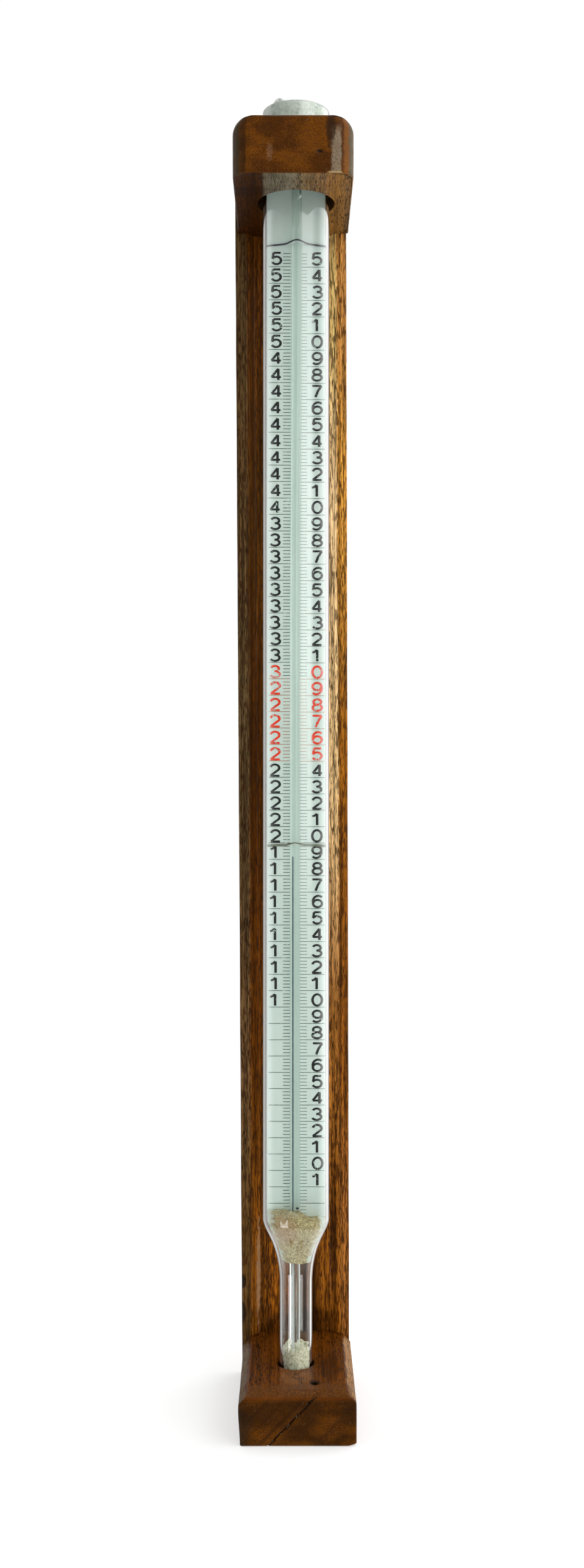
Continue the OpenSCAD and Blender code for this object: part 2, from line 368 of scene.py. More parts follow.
class Recipe(NodeTree):
    """Builds the nodes of one material. Patterns are placed by the object's own coordinates in metres."""

    def __init__(self, name, **sockets):
        self.material = bpy.data.materials.new(name)
        super().__init__(self.material)
        self.shader = self.tree.nodes["Principled BSDF"]
        self.output = self.tree.nodes["Material Output"]
        self.place = self.tree.nodes.new("ShaderNodeTexCoord").outputs["Object"]
        for key, value in sockets.items():
            self.set(key.replace("_", " "), value)

    def set(self, socket, value):
        """Sets one of the shader's sockets, named in any mix of cases, to a constant or a pattern."""
        found = next(s for s in self.shader.inputs if s.name.lower() == socket.lower())
        self.put(found, value)

    def scaled(self, factors, shift=(0, 0, 0)):
        """The place with each axis multiplied, for patterns that are long one way."""
        inputs = {0: self.place, 1: factors, 2: shift}
        return self.node("VectorMath", inputs, operation="MULTIPLY_ADD").outputs[0]

    def noise(self, vector, detail=3, roughness=0.5, distortion=0):
        inputs = {"Vector": vector, "Scale": 1, "Detail": detail, "Roughness": roughness}
        return self.node("TexNoise", {**inputs, "Distortion": distortion}).outputs["Fac"]

    def even_noise(self, scale, detail, roughness=0.5, shift=0):
        """Noise that is the same in every direction, with a count of waves to the metre."""
        return self.noise(self.scaled([scale] * 3, [shift] * 3), detail, roughness)

    def ramp(self, factor, stops):
        made = self.node("ValToRGB", {"Fac": factor})
        elements = made.color_ramp.elements
        while len(elements) < len(stops):
            elements.new(0.5)
        for element, (position, colour) in zip(elements, stops):
            element.position = position
            element.color = colour
        return made.outputs["Color"]

    def fall(self, factor, low, high):
        """1 below a low value and 0 above a high one."""
        return self.spread(factor, low, high, 1, 0)

    def band(self, factor, rise, full, fade, none):
        """1 between two soft edges, one from rise to full and one from fade to none."""
        return self.times(self.spread(factor, rise, full), self.fall(factor, fade, none))

    def swing(self, pattern, amount):
        """A 0 to 1 pattern turned into one that swings evenly about zero."""
        return self.times(self.minus(pattern, 0.5), amount)

    def vector(self, operation, a, b):
        return self.node("VectorMath", {0: a, 1: b}, operation=operation).outputs[0]

    def length(self, a):
        return self.node("VectorMath", {0: a}, operation="LENGTH").outputs["Value"]

    def mix(self, factor, a, b):
        return self.node("Mix", {0: factor, 6: a, 7: b}, data_type="RGBA").outputs[2]

    def paint(self, under, where, strength, colour):
        """A colour laid over another where a pattern is 1, at a given strength."""
        return self.mix(self.times(where, strength), under, colour)

    def axis(self, which):
        """One coordinate of the place, in millimetres."""
        parts = self.node("SeparateXYZ", {0: self.place})
        return self.times(parts.outputs[which], 1 / MM)

    def spot(self, centre, radii, edge, wobble, wobble_size):
        """1 inside an uneven round patch and 0 outside; centre and radii in millimetres."""
        away = self.vector("SUBTRACT", self.place, [c * MM for c in centre])
        away = self.vector("MULTIPLY", away, [1 / (r * MM) for r in radii])
        ragged = self.even_noise(1 / (wobble_size * MM), 2)
        length = self.plus(self.length(away), self.swing(ragged, wobble * 2))
        return self.fall(length, 1 - edge, 1 + edge)

    def stained(self, colour, spot_list):
        """Uneven round patches laid over a colour in turn: a spot, its strength and its own colour."""
        for spot, strength, tone in spot_list:
            colour = self.paint(colour, self.spot(*spot), strength, srgb(*tone))
        return colour

    def relief(self, height, depth, strength):
        """Bump from a 0 to 1 height over the given depth in millimetres."""
        inputs = {"Height": height, "Distance": depth * MM, "Strength": strength}
        return self.node("Bump", inputs).outputs[0]

    def let_through(self, share, tint=(1, 1, 1, 1)):
        """Lets a share of the light straight through the surface."""
        clear = self.node("BsdfTransparent", {"Color": tint}).outputs[0]
        blend = self.node("MixShader", {0: share, 1: self.shader.outputs[0], 2: clear})
        self.put(self.output.inputs["Surface"], blend.outputs[0])


def varnished(name, grain, pore_scale):
    """Varnished wood whose fibres follow the grain axis. Its colours are still to be painted on."""
    def stretched(across, along, shift=0):
        factors = [across] * 3
        factors[grain] = along
        return (factors, (shift, shift, shift))

    wood = Recipe(name, specular_ior_level=0.05, coat_weight=0.09, coat_roughness=0.14, coat_ior=1.5)
    wood.set("specular tint", (1.0, 0.8, 0.5, 1))
    wood.bands = wood.noise(wood.scaled(*stretched(650, 8, 3)), 5, 0.62, 0.4)
    wood.fibres = wood.noise(wood.scaled(*stretched(3200, 70, 7)), 3, 0.65)
    crowding = wood.noise(wood.scaled(*stretched(220, 30, 17)), 2)
    pores = wood.noise(wood.scaled(*stretched(*pore_scale, 11)), 2, 0.5)
    pores = wood.plus(pores, wood.swing(crowding, 0.35))
    wood.pore = wood.spread(pores, 0.54, 0.64)
    wood.worn = wood.even_noise(110, 4, 0.6)
    wood.set("roughness", wood.spread(wood.worn, 0.3, 0.7, 0.3, 0.55))
    surface = wood.minus(wood.times(wood.fibres, 0.35), wood.pore)
    wood.set("normal", wood.relief(surface, 0.15, 0.8))
    wood.set("coat normal", wood.relief(surface, 0.07, 0.5))
    return wood


def shaded(wood, colour, amount):
    """A colour multiplied by a plain amount."""
    return wood.node("VectorMath", {0: colour, 3: amount}, operation="SCALE").outputs[0]


def grained(wood, colour, bands, fibres, pores):
    """Darkens and lightens a colour along the fibres and sinks the pores into it."""
    light = wood.spread(wood.bands, 0.36, 0.64, 1 - bands * 0.6, 1 + bands * 0.4)
    fine = wood.spread(wood.fibres, 0.34, 0.66, 1 - fibres * 0.5, 1 + fibres * 0.5)
    colour = shaded(wood, colour, wood.times(light, fine))
    return wood.paint(colour, wood.pore, pores, srgb(20, 9, 3))


def darkened_hole(wood, colour, hole_r):
    """Painted shade on the wall of an upright hole round the thermometer's axis."""
    away = wood.vector("SUBTRACT", wood.place, (TUBE.x * MM, TUBE.y * MM, 0))
    away = wood.length(wood.vector("MULTIPLY", away, (1 / MM, 1 / MM, 0)))
    inside = wood.spread(away, hole_r + 0.05, hole_r + 0.4, 0.85, 0)
    return wood.mix(inside, colour, srgb(34, 19, 8))


# Width in millimetres that the colours across the wood are laid out over.
COLOURED_W = 54
# sRGB colours of the board by height in millimetres: left strip, left inner side,
# left and right half of the trough, right slope, right strip. The two sides are lit and shaded copies of
# one wood:
# the left strip's grey is a painted reflection and the left inner side painted shade,
# the pale tan of the right slope is a painted reflection and the golden right strip painted light.
BOARD_LIT_TONES = {
    63: ((86, 60, 28), (122, 70, 14), (142, 80, 16), (46, 22, 2), (170, 100, 26), (144, 88, 36)),
    164: ((112, 82, 50), (88, 46, 4), (112, 60, 12), (92, 48, 8), (184, 118, 50), (134, 76, 20)),
    294: ((102, 80, 50), (72, 36, 2), (100, 54, 12), (110, 62, 16), (255, 212, 150), (134, 80, 18)),
    424: ((82, 60, 34), (80, 46, 7), (92, 50, 10), (120, 70, 20), (255, 214, 158), (202, 140, 56)),
    510: ((78, 58, 33), (88, 48, 10), (96, 54, 12), (110, 64, 20), (255, 214, 134), (178, 122, 60)),
}


def share_across(wood, x):
    """0 at the left and 1 at the right of the coloured width."""
    return wood.plus(wood.times(x, 1 / COLOURED_W), 0.5)


def board_tones(wood, z):
    """Board colours, with painted light and shade, that run across it and change with height."""
    lean = wood.times(z, (BOARD_TOP_X - BOARD_BASE_X) / HOLDER_H)
    across = wood.minus(wood.minus(wood.axis("X"), BOARD_BASE_X), lean)
    across = wood.plus(across, wood.swing(wood.noise(wood.scaled((0, 0, 22)), 2), 2.2))
    share = share_across(wood, across)
    colour = None
    below = None
    for height, tones in BOARD_LIT_TONES.items():
        strip_l, inner_l, trough_l, trough_r, slope_r, strip_r = (srgb(*tone) for tone in tones)
        level = wood.ramp(share, [
            (0.10, strip_l), (0.125, inner_l), (0.20, inner_l), (0.36, trough_l),
            (0.66, trough_r), (0.82, slope_r), (0.885, slope_r), (0.905, strip_r),
        ])
        colour = level if colour is None else wood.mix(wood.spread(z, below, height), colour, level)
        below = height
    return colour


def board_wood():
    """Wood of the board, with dark dashes, dark patches low on the right slope and trough floor, two knots
    and a pale streak low down.
    """
    wood = varnished("varnished_wood_board", 2, (4200, 260))
    colour = shaded(wood, grained(wood, board_tones(wood, wood.axis("Z")), 0.9, 0.45, 0.85), 1.32)
    patches = wood.noise(wood.scaled((160, 160, 26), (3, 1, 8)), 2)
    dashes = wood.noise(wood.scaled((1500, 700, 150), (8, 2, 1)), 2, 0.55)
    dashes = wood.plus(dashes, wood.swing(patches, 0.25))
    colour = wood.paint(colour, wood.spread(dashes, 0.51, 0.58), 0.75, srgb(58, 30, 8))
    # A darker band down the right slope and a darker patch on the trough floor, both low on the board.
    dark_slope_band = wood.spot((19, 30, 75), (2.2, 6, 44), 0.3, 0.35, 5)
    dark_floor_patch = wood.spot((4, 35, 24), (24, 3, 9), 0.4, 0.5, 6)
    dark_patch = wood.most(dark_slope_band, wood.times(dark_floor_patch, 0.8))
    colour = wood.paint(colour, dark_patch, 0.75, srgb(34, 14, 3))
    lower_knot = wood.spot((-24, 31, 32.5), (2.2, 4, 4.5), 0.25, 0.4, 3)
    upper_knot = wood.spot((-23.6, 31, 47), (1.8, 4, 3.0), 0.25, 0.4, 3)
    colour = wood.paint(colour, wood.most(lower_knot, upper_knot), 0.85, srgb(24, 18, 14))
    # A pale streak where the left slope meets the trough floor.
    pale_mark = ((-16.2, 33, 50), (0.9, 5, 23), 0.4, 0.7, 2.5)
    wood.set("base color", wood.stained(colour, [(pale_mark, 0.65, (178, 138, 100))]))
    return wood.material


def end_grain(wood, tone, dark):
    """Stippled end grain of a block's front face, with slow drifts between a tone and a darker one."""
    drift = wood.noise(wood.scaled((55, 20, 95), (2, 2, 2)), 2, 0.5)
    dots = wood.even_noise(2600, 3, 0.7)
    wood.dots = wood.spread(dots, 0.34, 0.66)
    colour = wood.mix(wood.spread(drift, 0.38, 0.62), tone, dark)
    return shaded(wood, colour, wood.spread(dots, 0.34, 0.66, 0.5, 1.5))


def on_front(wood, corner_r):
    """1 on a block's front face and its rounded corners, 0 on the faces behind."""
    return wood.fall(wood.axis("Y"), FRONT_Y + 0.6 * corner_r, FRONT_Y + corner_r + 1)


def scratches(wood, amount):
    """Fine pale nicks that lie aslant on the front."""
    inputs = {"Vector": wood.place, "Angle": 0.7}
    slant = wood.node("VectorRotate", inputs, rotation_type="Y_AXIS").outputs[0]
    thin = wood.vector("MULTIPLY", slant, (420, 60, 3000))
    return wood.times(wood.spread(wood.noise(thin, 0), 0.83, 0.87), amount)


def top_block_sides(wood, x):
    """Sides, top and underside of the top block, with painted light and shade across them: painted shade at
    the left, a painted grey reflection round the middle of the underside and painted light at the right.
    """
    # Painted light and shade across the sides and underside: painted shade at the left, a painted grey
    # reflection round the middle and painted light at the right.
    across = wood.ramp(share_across(wood, x), [
        (0.08, srgb(58, 28, 4)), (0.25, srgb(52, 26, 4)), (0.28, srgb(96, 85, 66)),
        (0.5, srgb(104, 94, 74)), (0.6, srgb(120, 94, 58)), (0.79, srgb(134, 92, 44)),
        (0.94, srgb(130, 92, 44)),
    ])
    # Painted shade at the left front of the underside.
    dark_spot = ((-19, -22, TOP_LOW.z), (7, 6, 4), 0.5, 0.3, 6)
    return wood.stained(grained(wood, across, 0.6, 0.6, 0.9), [(dark_spot, 0.7, (34, 16, 4))])


def top_block_front(wood, x, z):
    """Front of the top block: a painted grey reflection and painted shade on its left corner, and painted
    grey reflections and painted orange light in strips at the right.
    """
    edge = wood.plus(x, wood.swing(wood.noise(wood.scaled((500, 60, 500)), 3), 2.4))
    front = end_grain(wood, srgb(104, 58, 8), srgb(76, 40, 5))
    # Painted grey reflection on the rounded left corner.
    left_corner_sheen = wood.fall(edge, -23.8, -21.4)
    front = wood.paint(front, left_corner_sheen, wood.spread(wood.dots, 0, 1, 0.65, 0.95), srgb(50, 44, 28))
    # Painted shade just inside the left corner.
    front = wood.paint(front, wood.band(edge, -23.4, -21.6, -20.8, -19.6), 0.7, srgb(44, 26, 10))
    # Painted grey reflection in a strip on the right corner, below its top.
    grey = wood.times(wood.band(edge, 16.2, 17.4, 20.2, 21.2), wood.fall(z, 561, 567))
    front = wood.paint(front, grey, wood.spread(wood.dots, 0, 1, 0.35, 0.9), srgb(154, 138, 114))
    dark = ((16.3, FRONT_Y, 564), (2, 9, 7.5), 0.3, 0.5, 2)
    front = wood.stained(front, [(dark, 0.8, (44, 28, 16))])
    # Painted light, in orange, on the turn of the right corner.
    front = wood.paint(front, wood.spread(edge, 21.4, 22.4), 0.5, srgb(150, 94, 42))
    # Painted grey reflection at the right edge.
    rim = wood.spread(edge, 23.6, 24.6)
    front = wood.paint(front, rim, wood.spread(wood.dots, 0, 1, 0.6, 0.95), srgb(76, 76, 60))
    lower_edge = wood.times(wood.fall(z, 545.5, 546.1), wood.band(edge, 14.6, 16, 20.6, 21.6))
    front = wood.paint(front, lower_edge, 0.65, srgb(184, 156, 110))
    pale_mark = wood.spot((-9.9, FRONT_Y, 554), (1.2, 9, 3.4), 0.5, 0.4, 1.5)
    pale_mark = wood.times(pale_mark, wood.spread(wood.dots, 0, 1, 0.1, 0.35))
    front = wood.mix(wood.most(pale_mark, scratches(wood, 0.4)), front, srgb(160, 124, 92))
    nick = ((NICK_X, FRONT_Y, NICK_Z - 0.1), (1.4, 9, 0.8), 0.4, 0.5, 1)
    return wood.stained(front, [(nick, 0.9, (22, 14, 10))])


def top_block_wood():
    """Wood of the top block, with end grain on its front."""
    wood = varnished("varnished_wood_top", 1, (3600, 230))
    x, z = wood.axis("X"), wood.axis("Z")
    above_foot = wood.spread(z, TOP_LOW.z + 0.02, TOP_LOW.z + 0.2)
    sides = top_block_sides(wood, x)
    front = top_block_front(wood, x, z)
    colour = wood.paint(sides, on_front(wood, TOP_CORNER_R), above_foot, front)
    # The wall of the bore gets painted shade.
    wood.set("base color", darkened_hole(wood, colour, BORE_HOLE_R))
    return wood.material


def base_block_top(wood, x, y, z):
    """Sloping top of the base block, with a dark patch, a painted reflection of the stem, painted shade in
    the nail hole, bevels pale with painted reflection and light, and a stippled front lip.
    """
    across = wood.ramp(share_across(wood, x), [
        (0.1, srgb(88, 46, 9)), (0.45, srgb(102, 54, 10)),
        (0.7, srgb(96, 50, 6)), (0.94, srgb(100, 54, 10)),
    ])
    dark_patch = ((17, -10, 22), (4.5, 17, 6), 0.4, 0.5, 6)
    top = wood.stained(grained(wood, across, 0.6, 0.6, 0.9), [(dark_patch, 0.6, (40, 20, 5))])
    # Painted reflection of the stem in the varnish in front of it.
    mirrored = wood.spot((1.5, -23, 22.3), (6.8, 9.5, 3), 0.2, 0.15, 3)
    top = wood.paint(top, mirrored, wood.spread(wood.pore, 0, 1, 0.3, 0), srgb(136, 92, 52))
    # Painted shade inside the nail hole.
    nail_hole_shade = ((*NAIL_HOLE, BASE_HIGH.z), (2.4, 4, 12), 0.3, 0.6, 1.6)
    top = wood.stained(top, [(nail_hole_shade, 0.9, (16, 10, 6))])
    # Bevels: a painted greyish reflection on the left one and painted light on the paler right one.
    left = wood.mix(wood.pore, srgb(96, 74, 46), srgb(30, 22, 14))
    right = wood.mix(wood.pore, srgb(150, 108, 60), srgb(52, 32, 12))
    brink = wood.plus(x, wood.swing(wood.even_noise(90, 3, shift=4), 4))
    on_side = wood.spread(z, 17.2, 18.2)
    top = wood.paint(top, wood.times(wood.fall(brink, -20.8, -20.2), on_side), 0.85, left)
    top = wood.paint(top, wood.times(wood.spread(brink, 23.6, 24.2), on_side), 0.85, right)
    dots = wood.spread(wood.even_noise(2300, 2, 0.6), 0.48, 0.56)
    stippled = wood.mix(dots, srgb(112, 66, 22), srgb(38, 20, 6))
    lip = wood.times(wood.fall(y, -32.5, -30.5), wood.spread(z, 20.4, 21.2))
    return wood.paint(top, lip, 0.75, stippled)


def base_block_front(wood, x, z):
    """Front of the base block: drifts along the crack, a dark spot and a painted grey reflection at the
    left, and the crack itself.
    """
    front = end_grain(wood, srgb(92, 50, 4), srgb(58, 30, 2))
    slant = wood.minus(x, wood.times(z, (CRACK_HEAD_X - CRACK_FOOT_X) / BASE_HIGH.z))
    along = wood.node("CombineXYZ", {0: wood.times(slant, 0.16), 1: 0.0, 2: 0.0}).outputs[0]
    front = wood.mix(wood.spread(wood.noise(along, 2), 0.48, 0.7, 0, 0.55), front, srgb(40, 20, 3))
    # A dark spot low at the left, and a painted grey reflection low on the left corner.
    dark_spot = ((-14, FRONT_Y, 13), (12, 12, 5.5), 0.6, 0.5, 7)
    base_corner_sheen = ((-24, FRONT_Y, 5), (6, 12, 9), 0.5, 0.6, 4)
    front = wood.stained(front, [(dark_spot, 0.65, (34, 16, 2)), (base_corner_sheen, 0.6, (38, 30, 16))])
    front = wood.mix(wood.spread(z, 18.6, 21, 0, 0.45), front, srgb(116, 58, 10))
    wave = wood.times(wood.calc("SINE", wood.times(z, CRACK_TURN)), CRACK_WAVE)
    wave = wood.plus(wave, wood.swing(wood.even_noise(900, 3, shift=6), 1.6))
    split = wood.calc("ABSOLUTE", wood.minus(wood.minus(slant, CRACK_FOOT_X), wave))
    front = wood.mix(wood.spread(split, 0.2, 0.85, 0.9, 0), front, srgb(22, 10, 3))
    dust = wood.spread(wood.even_noise(1500, 1, shift=9), 0.66, 0.7)
    front = wood.paint(front, wood.spread(split, 0.5, 0.8, 0.6, 0), dust, srgb(150, 138, 112))
    return wood.mix(scratches(wood, 0.2), front, srgb(160, 140, 110))


def base_block_wood():
    """Wood of the base block, with end grain on its front."""
    wood = varnished("varnished_wood_base", 1, (3600, 230))
    x, y, z = (wood.axis(which) for which in "XYZ")
    top = base_block_top(wood, x, y, z)
    front = base_block_front(wood, x, z)
    colour = wood.paint(top, on_front(wood, BASE_CORNER_R), wood.fall(z, 20.6, 21.6), front)
    # The wall of the socket gets painted shade.
    wood.set("base color", darkened_hole(wood, colour, SOCKET_R))
    return wood.material


GLASS_SHINE = 0.45


def clear_glass(name, tint, stem_sheen=0):
    """Clear glass that lets the lamps' light through. The last argument sets how strongly pale streaks are
    painted on it in the stem, a white diffuse share that stands in for reflections.
    """
    glass = Recipe(name, base_color=tint, roughness=0.0, ior=1.5, transmission_weight=1.0)
    glass.set("specular ior level", GLASS_SHINE)
    streaks = glass.noise(glass.scaled((300, 300, 4)), 2)
    glass.set("normal", glass.relief(streaks, 0.02, 0.25))
    # Painted reflections: white diffuse streaks on the glass in the stem.
    if stem_sheen:
        lines = glass.noise(glass.scaled((1500, 1500, 7)), 2)
        sheen_streaks = glass.spread(lines, 0.46, 0.62, 0.1 * stem_sheen, 3 * stem_sheen)
        in_stem = glass.fall(glass.axis("Z"), 62, 72)
        glass.set("transmission weight", glass.minus(1, glass.times(sheen_streaks, in_stem)))
    glass.let_through(glass.node("LightPath", {}).outputs["Is Shadow Ray"], tint)
    return glass.material


def milk_glass(name):
    """Opaque white glass, faintly clouded and specked."""
    glass = Recipe(name, roughness=0.18, ior=1.5, coat_weight=0.3, coat_roughness=0.05)
    clouds = glass.noise(glass.scaled((60, 60, 14)), 3)
    specks = glass.spread(glass.even_noise(900, 1), 0.74, 0.8)
    colour = glass.ramp(clouds, [(0.3, srgb(204, 219, 213)), (0.7, srgb(218, 229, 224))])
    colour = glass.paint(colour, specks, 0.25, srgb(120, 128, 112))
    glass.set("base color", colour)
    glass.set("roughness", glass.spread(clouds, 0.3, 0.7, 0.14, 0.26))
    return glass.material


def ink(name, colour, bare, worn):
    """Paint in an engraved mark. worn is the share of it that has come away down to the glass."""
    paint = Recipe(name, roughness=0.6, specular_ior_level=0.1)
    chips = paint.even_noise(1500, 3, 0.6)
    fade = paint.even_noise(260, 2)
    left = paint.plus(paint.times(chips, 0.6), paint.times(fade, 0.4))
    gone = paint.spread(left, 0.34 + worn * 0.2, 0.30 + worn * 0.2)
    tone = paint.mix(paint.spread(chips, 0.3, 0.7), colour, [c * 1.6 + 0.01 for c in colour[:3]] + [1])
    paint.set("base color", paint.mix(gone, tone, bare))
    paint.set("normal", paint.relief(chips, 0.03, 0.4))
    return paint.material


def mercury():
    """Mercury, with a faint skin that dulls it in places."""
    metal = Recipe("mercury", base_color=srgb(120, 132, 148), metallic=1.0, roughness=0.12)
    ripple = metal.even_noise(400, 2)
    metal.set("roughness", metal.spread(ripple, 0.3, 0.7, 0.08, 0.22))
    return metal.material


def wire(name, dark, light, metallic=0.6):
    """Oxidised wire, crusted in two tones."""
    metal = Recipe(name, metallic=metallic, roughness=0.55)
    crust = metal.even_noise(1400, 4, 0.7)
    metal.set("base color", metal.ramp(crust, [(0.38, dark), (0.62, light)]))
    metal.set("roughness", metal.spread(crust, 0.3, 0.7, 0.4, 0.75))
    metal.set("normal", metal.relief(crust, 0.05, 0.6))
    return metal.material


def packing(name, tones, speck_tone, grain_size, lump_depth):
    """Recipe of loose grains pressed together: tones from dark to light and a few darker specks."""
    dust = Recipe(name, roughness=0.95)
    grains = dust.even_noise(1 / (grain_size * MM), 3, 0.7)
    clouds = dust.even_noise(700, 4, 0.75)
    tone = dust.plus(dust.times(grains, 0.6), dust.times(clouds, 0.4))
    dark, middling, light = (srgb(*c) for c in tones)
    colour = dust.ramp(tone, [(0.38, dark), (0.5, middling), (0.62, light)])
    specks = dust.spread(dust.even_noise(1100, 1, shift=5), 0.7, 0.75)
    dust.colour = dust.paint(colour, specks, 0.7, speck_tone)
    dust.set("base color", dust.colour)
    dust.set("normal", dust.relief(grains, lump_depth, 0.8))
    return dust


def sand():
    """Shoulder packing: pinkish in places, and whitened by milky powder at its upper rim."""
    tones = ((116, 96, 58), (172, 156, 108), (222, 210, 168))
    dust = packing("sand_packing", tones, srgb(104, 56, 34), 0.5, 0.35)
    rust = ((-3.5, -18, 85.5), (5, 9, 6.5), 0.5, 0.5, 3)
    colour = dust.stained(dust.colour, [(rust, 0.4, (168, 118, 92))])
    across = dust.calc("ABSOLUTE", dust.minus(dust.axis("X"), TUBE.x))
    ragged = dust.swing(dust.even_noise(420, 3), 7)
    glass_r = dust.spread(dust.axis("Z"), 67, 86, 6.6, 13)
    powder = dust.times(dust.spread(dust.minus(dust.plus(across, ragged), glass_r), -3.2, -1.2), 0.85)
    upper = dust.spread(dust.plus(dust.axis("Z"), ragged), 90.5, 94, 0, 0.3)
    dust.set("base color", dust.mix(dust.most(powder, upper), colour, srgb(206, 218, 208)))
    return dust.material


def steel():
    """Brushed screw heads with some rust."""
    metal = Recipe("screw_steel", metallic=1.0, roughness=0.4)
    scratches = metal.noise(metal.scaled((2000, 300, 2000)), 3)
    rust = metal.spread(metal.even_noise(500, 3), 0.55, 0.7)
    colour = metal.ramp(scratches, [(0.3, srgb(120, 118, 112)), (0.7, srgb(170, 168, 160))])
    metal.set("base color", metal.mix(rust, colour, srgb(92, 58, 34)))
    metal.set("roughness", metal.spread(scratches, 0.3, 0.7, 0.3, 0.6))
    metal.set("normal", metal.relief(scratches, 0.02, 0.4))
    return metal.material


BOARD_WOOD = board_wood()
TOP_WOOD = top_block_wood()
BASE_WOOD = base_block_wood()
TUBE_GLASS = clear_glass("clear_glass_tube", (0.95, 0.972, 0.955, 1))
# The rod carries painted reflection streaks in the stem.
ROD_GLASS = clear_glass("clear_glass_rod", (0.955, 0.99, 0.97, 1), stem_sheen=0.11)
PLATE_GLASS = milk_glass("milk_glass_plate")
BEAD_GLASS = milk_glass("white_bead")
BARE = srgb(190, 203, 194)
BLACK_INK = ink("black_ink", srgb(14, 18, 16), BARE, 0.3)
RED_INK = ink("red_ink", srgb(206, 44, 6), BARE, 0.5)
LINE_INK = ink("line_ink", srgb(64, 78, 68), BARE, 0.35)
RED_LINE_INK = ink("red_line_ink", srgb(158, 108, 80), BARE, 0.35)
MERCURY = mercury()
DARK_WIRE = wire("dark_wire", srgb(34, 30, 40), srgb(78, 74, 84))
GREEN_WIRE = wire("green_wire", srgb(84, 70, 44), srgb(128, 140, 112), 0.3)
SAND = sand()
GRIT_TONES = ((12, 10, 8), (22, 18, 14), (38, 32, 26))
GRIT = packing("dark_grit", GRIT_TONES, srgb(8, 6, 4), 0.4, 0.2).material
CRUMB_TONES = ((164, 156, 124), (222, 218, 190), (244, 242, 226))
WHITE_CRUMBS = packing("white_crumbs", CRUMB_TONES, srgb(110, 96, 70), 0.7, 0.3).material
PLASTER_TONES = ((188, 198, 184), (216, 222, 212), (236, 240, 232))
PLASTER = packing("plug_plaster", PLASTER_TONES, srgb(150, 160, 140), 1.6, 0.3).material
STEEL = steel()


# ---- wooden holder ----

SCREW_HEAD_R = 4
# Radius by depth of a countersunk screw hole, and radius by height of the nail hole.
SCREW_HOLE = [(0, -1), (4.9, -1), (4.25, 0), (2.1, 2.15), (2.1, 20), (0, 20)]
NAIL_HOLE_SIDE = [(0, 14), (0.8, 14), (1.3, 17), (1.4, 21), (1.7, 23), (0, 23)]
# Rounding of a hole's edge: how much wider it is, and how deep.
EDGE_WIDER = 0.5
EDGE_MID_WIDER = 0.12
EDGE_MID_DEPTH = 0.15
# Inset of a block's sides by height above its foot and by depth below its top.
FOOT_INSETS = [(0, 0.5), (0.2, 0.12)]
TOP_INSETS = [(0.9, 0), (0.6, 0), (0.4, 0.03), (0.2, 0.08), (0.05, 0.15), (0, 0.3)]
CRACK_HALF_W = 0.34
CRACK_DEPTH = 1.0
CHIP_DEPTH = 0.9


def edge_x(side, z, inset=0):
    """Long edge of the board at a height: it tapers and leans slightly."""
    t = z / HOLDER_H
    half = lerp(BOARD_BASE_W, BOARD_TOP_W, t) / 2
    return lerp(BOARD_BASE_X, BOARD_TOP_X, t) + side * (half - inset)


def rounded(corners, pace=2.0):
    """Closed outline through (x, y, radius) corners, rounded, with its straight stretches divided."""
    arc = 5
    outline = []
    n = len(corners)
    for i in range(n):
        before, here, after = (Vector(corners[(i + k) % n][:2]) for k in (-1, 0, 1))
        r = corners[i][2]
        enter = here + (before - here).normalized() * r
        leave = here + (after - here).normalized() * r
        for k in range(arc + 1):
            t = k / arc
            outline.append(enter * (1 - t) ** 2 + here * 2 * t * (1 - t) + leave * t * t)
        next_r = corners[(i + 1) % n][2]
        stretch_end = after + (here - after).normalized() * next_r
        shares = steps(0, 1, pace / (stretch_end - leave).length)
        outline += [leave.lerp(stretch_end, t) for t in shares[1:-1]]
    return outline


def capped_loft(rings):
    """Points and faces of rings of equal length, with flat ends."""
    n = len(rings[0])
    verts = [p for ring in rings for p in ring]
    ends = [tuple(range(n)), tuple(range(len(verts) - n, len(verts)))]
    return verts, grid(len(rings), n) + ends


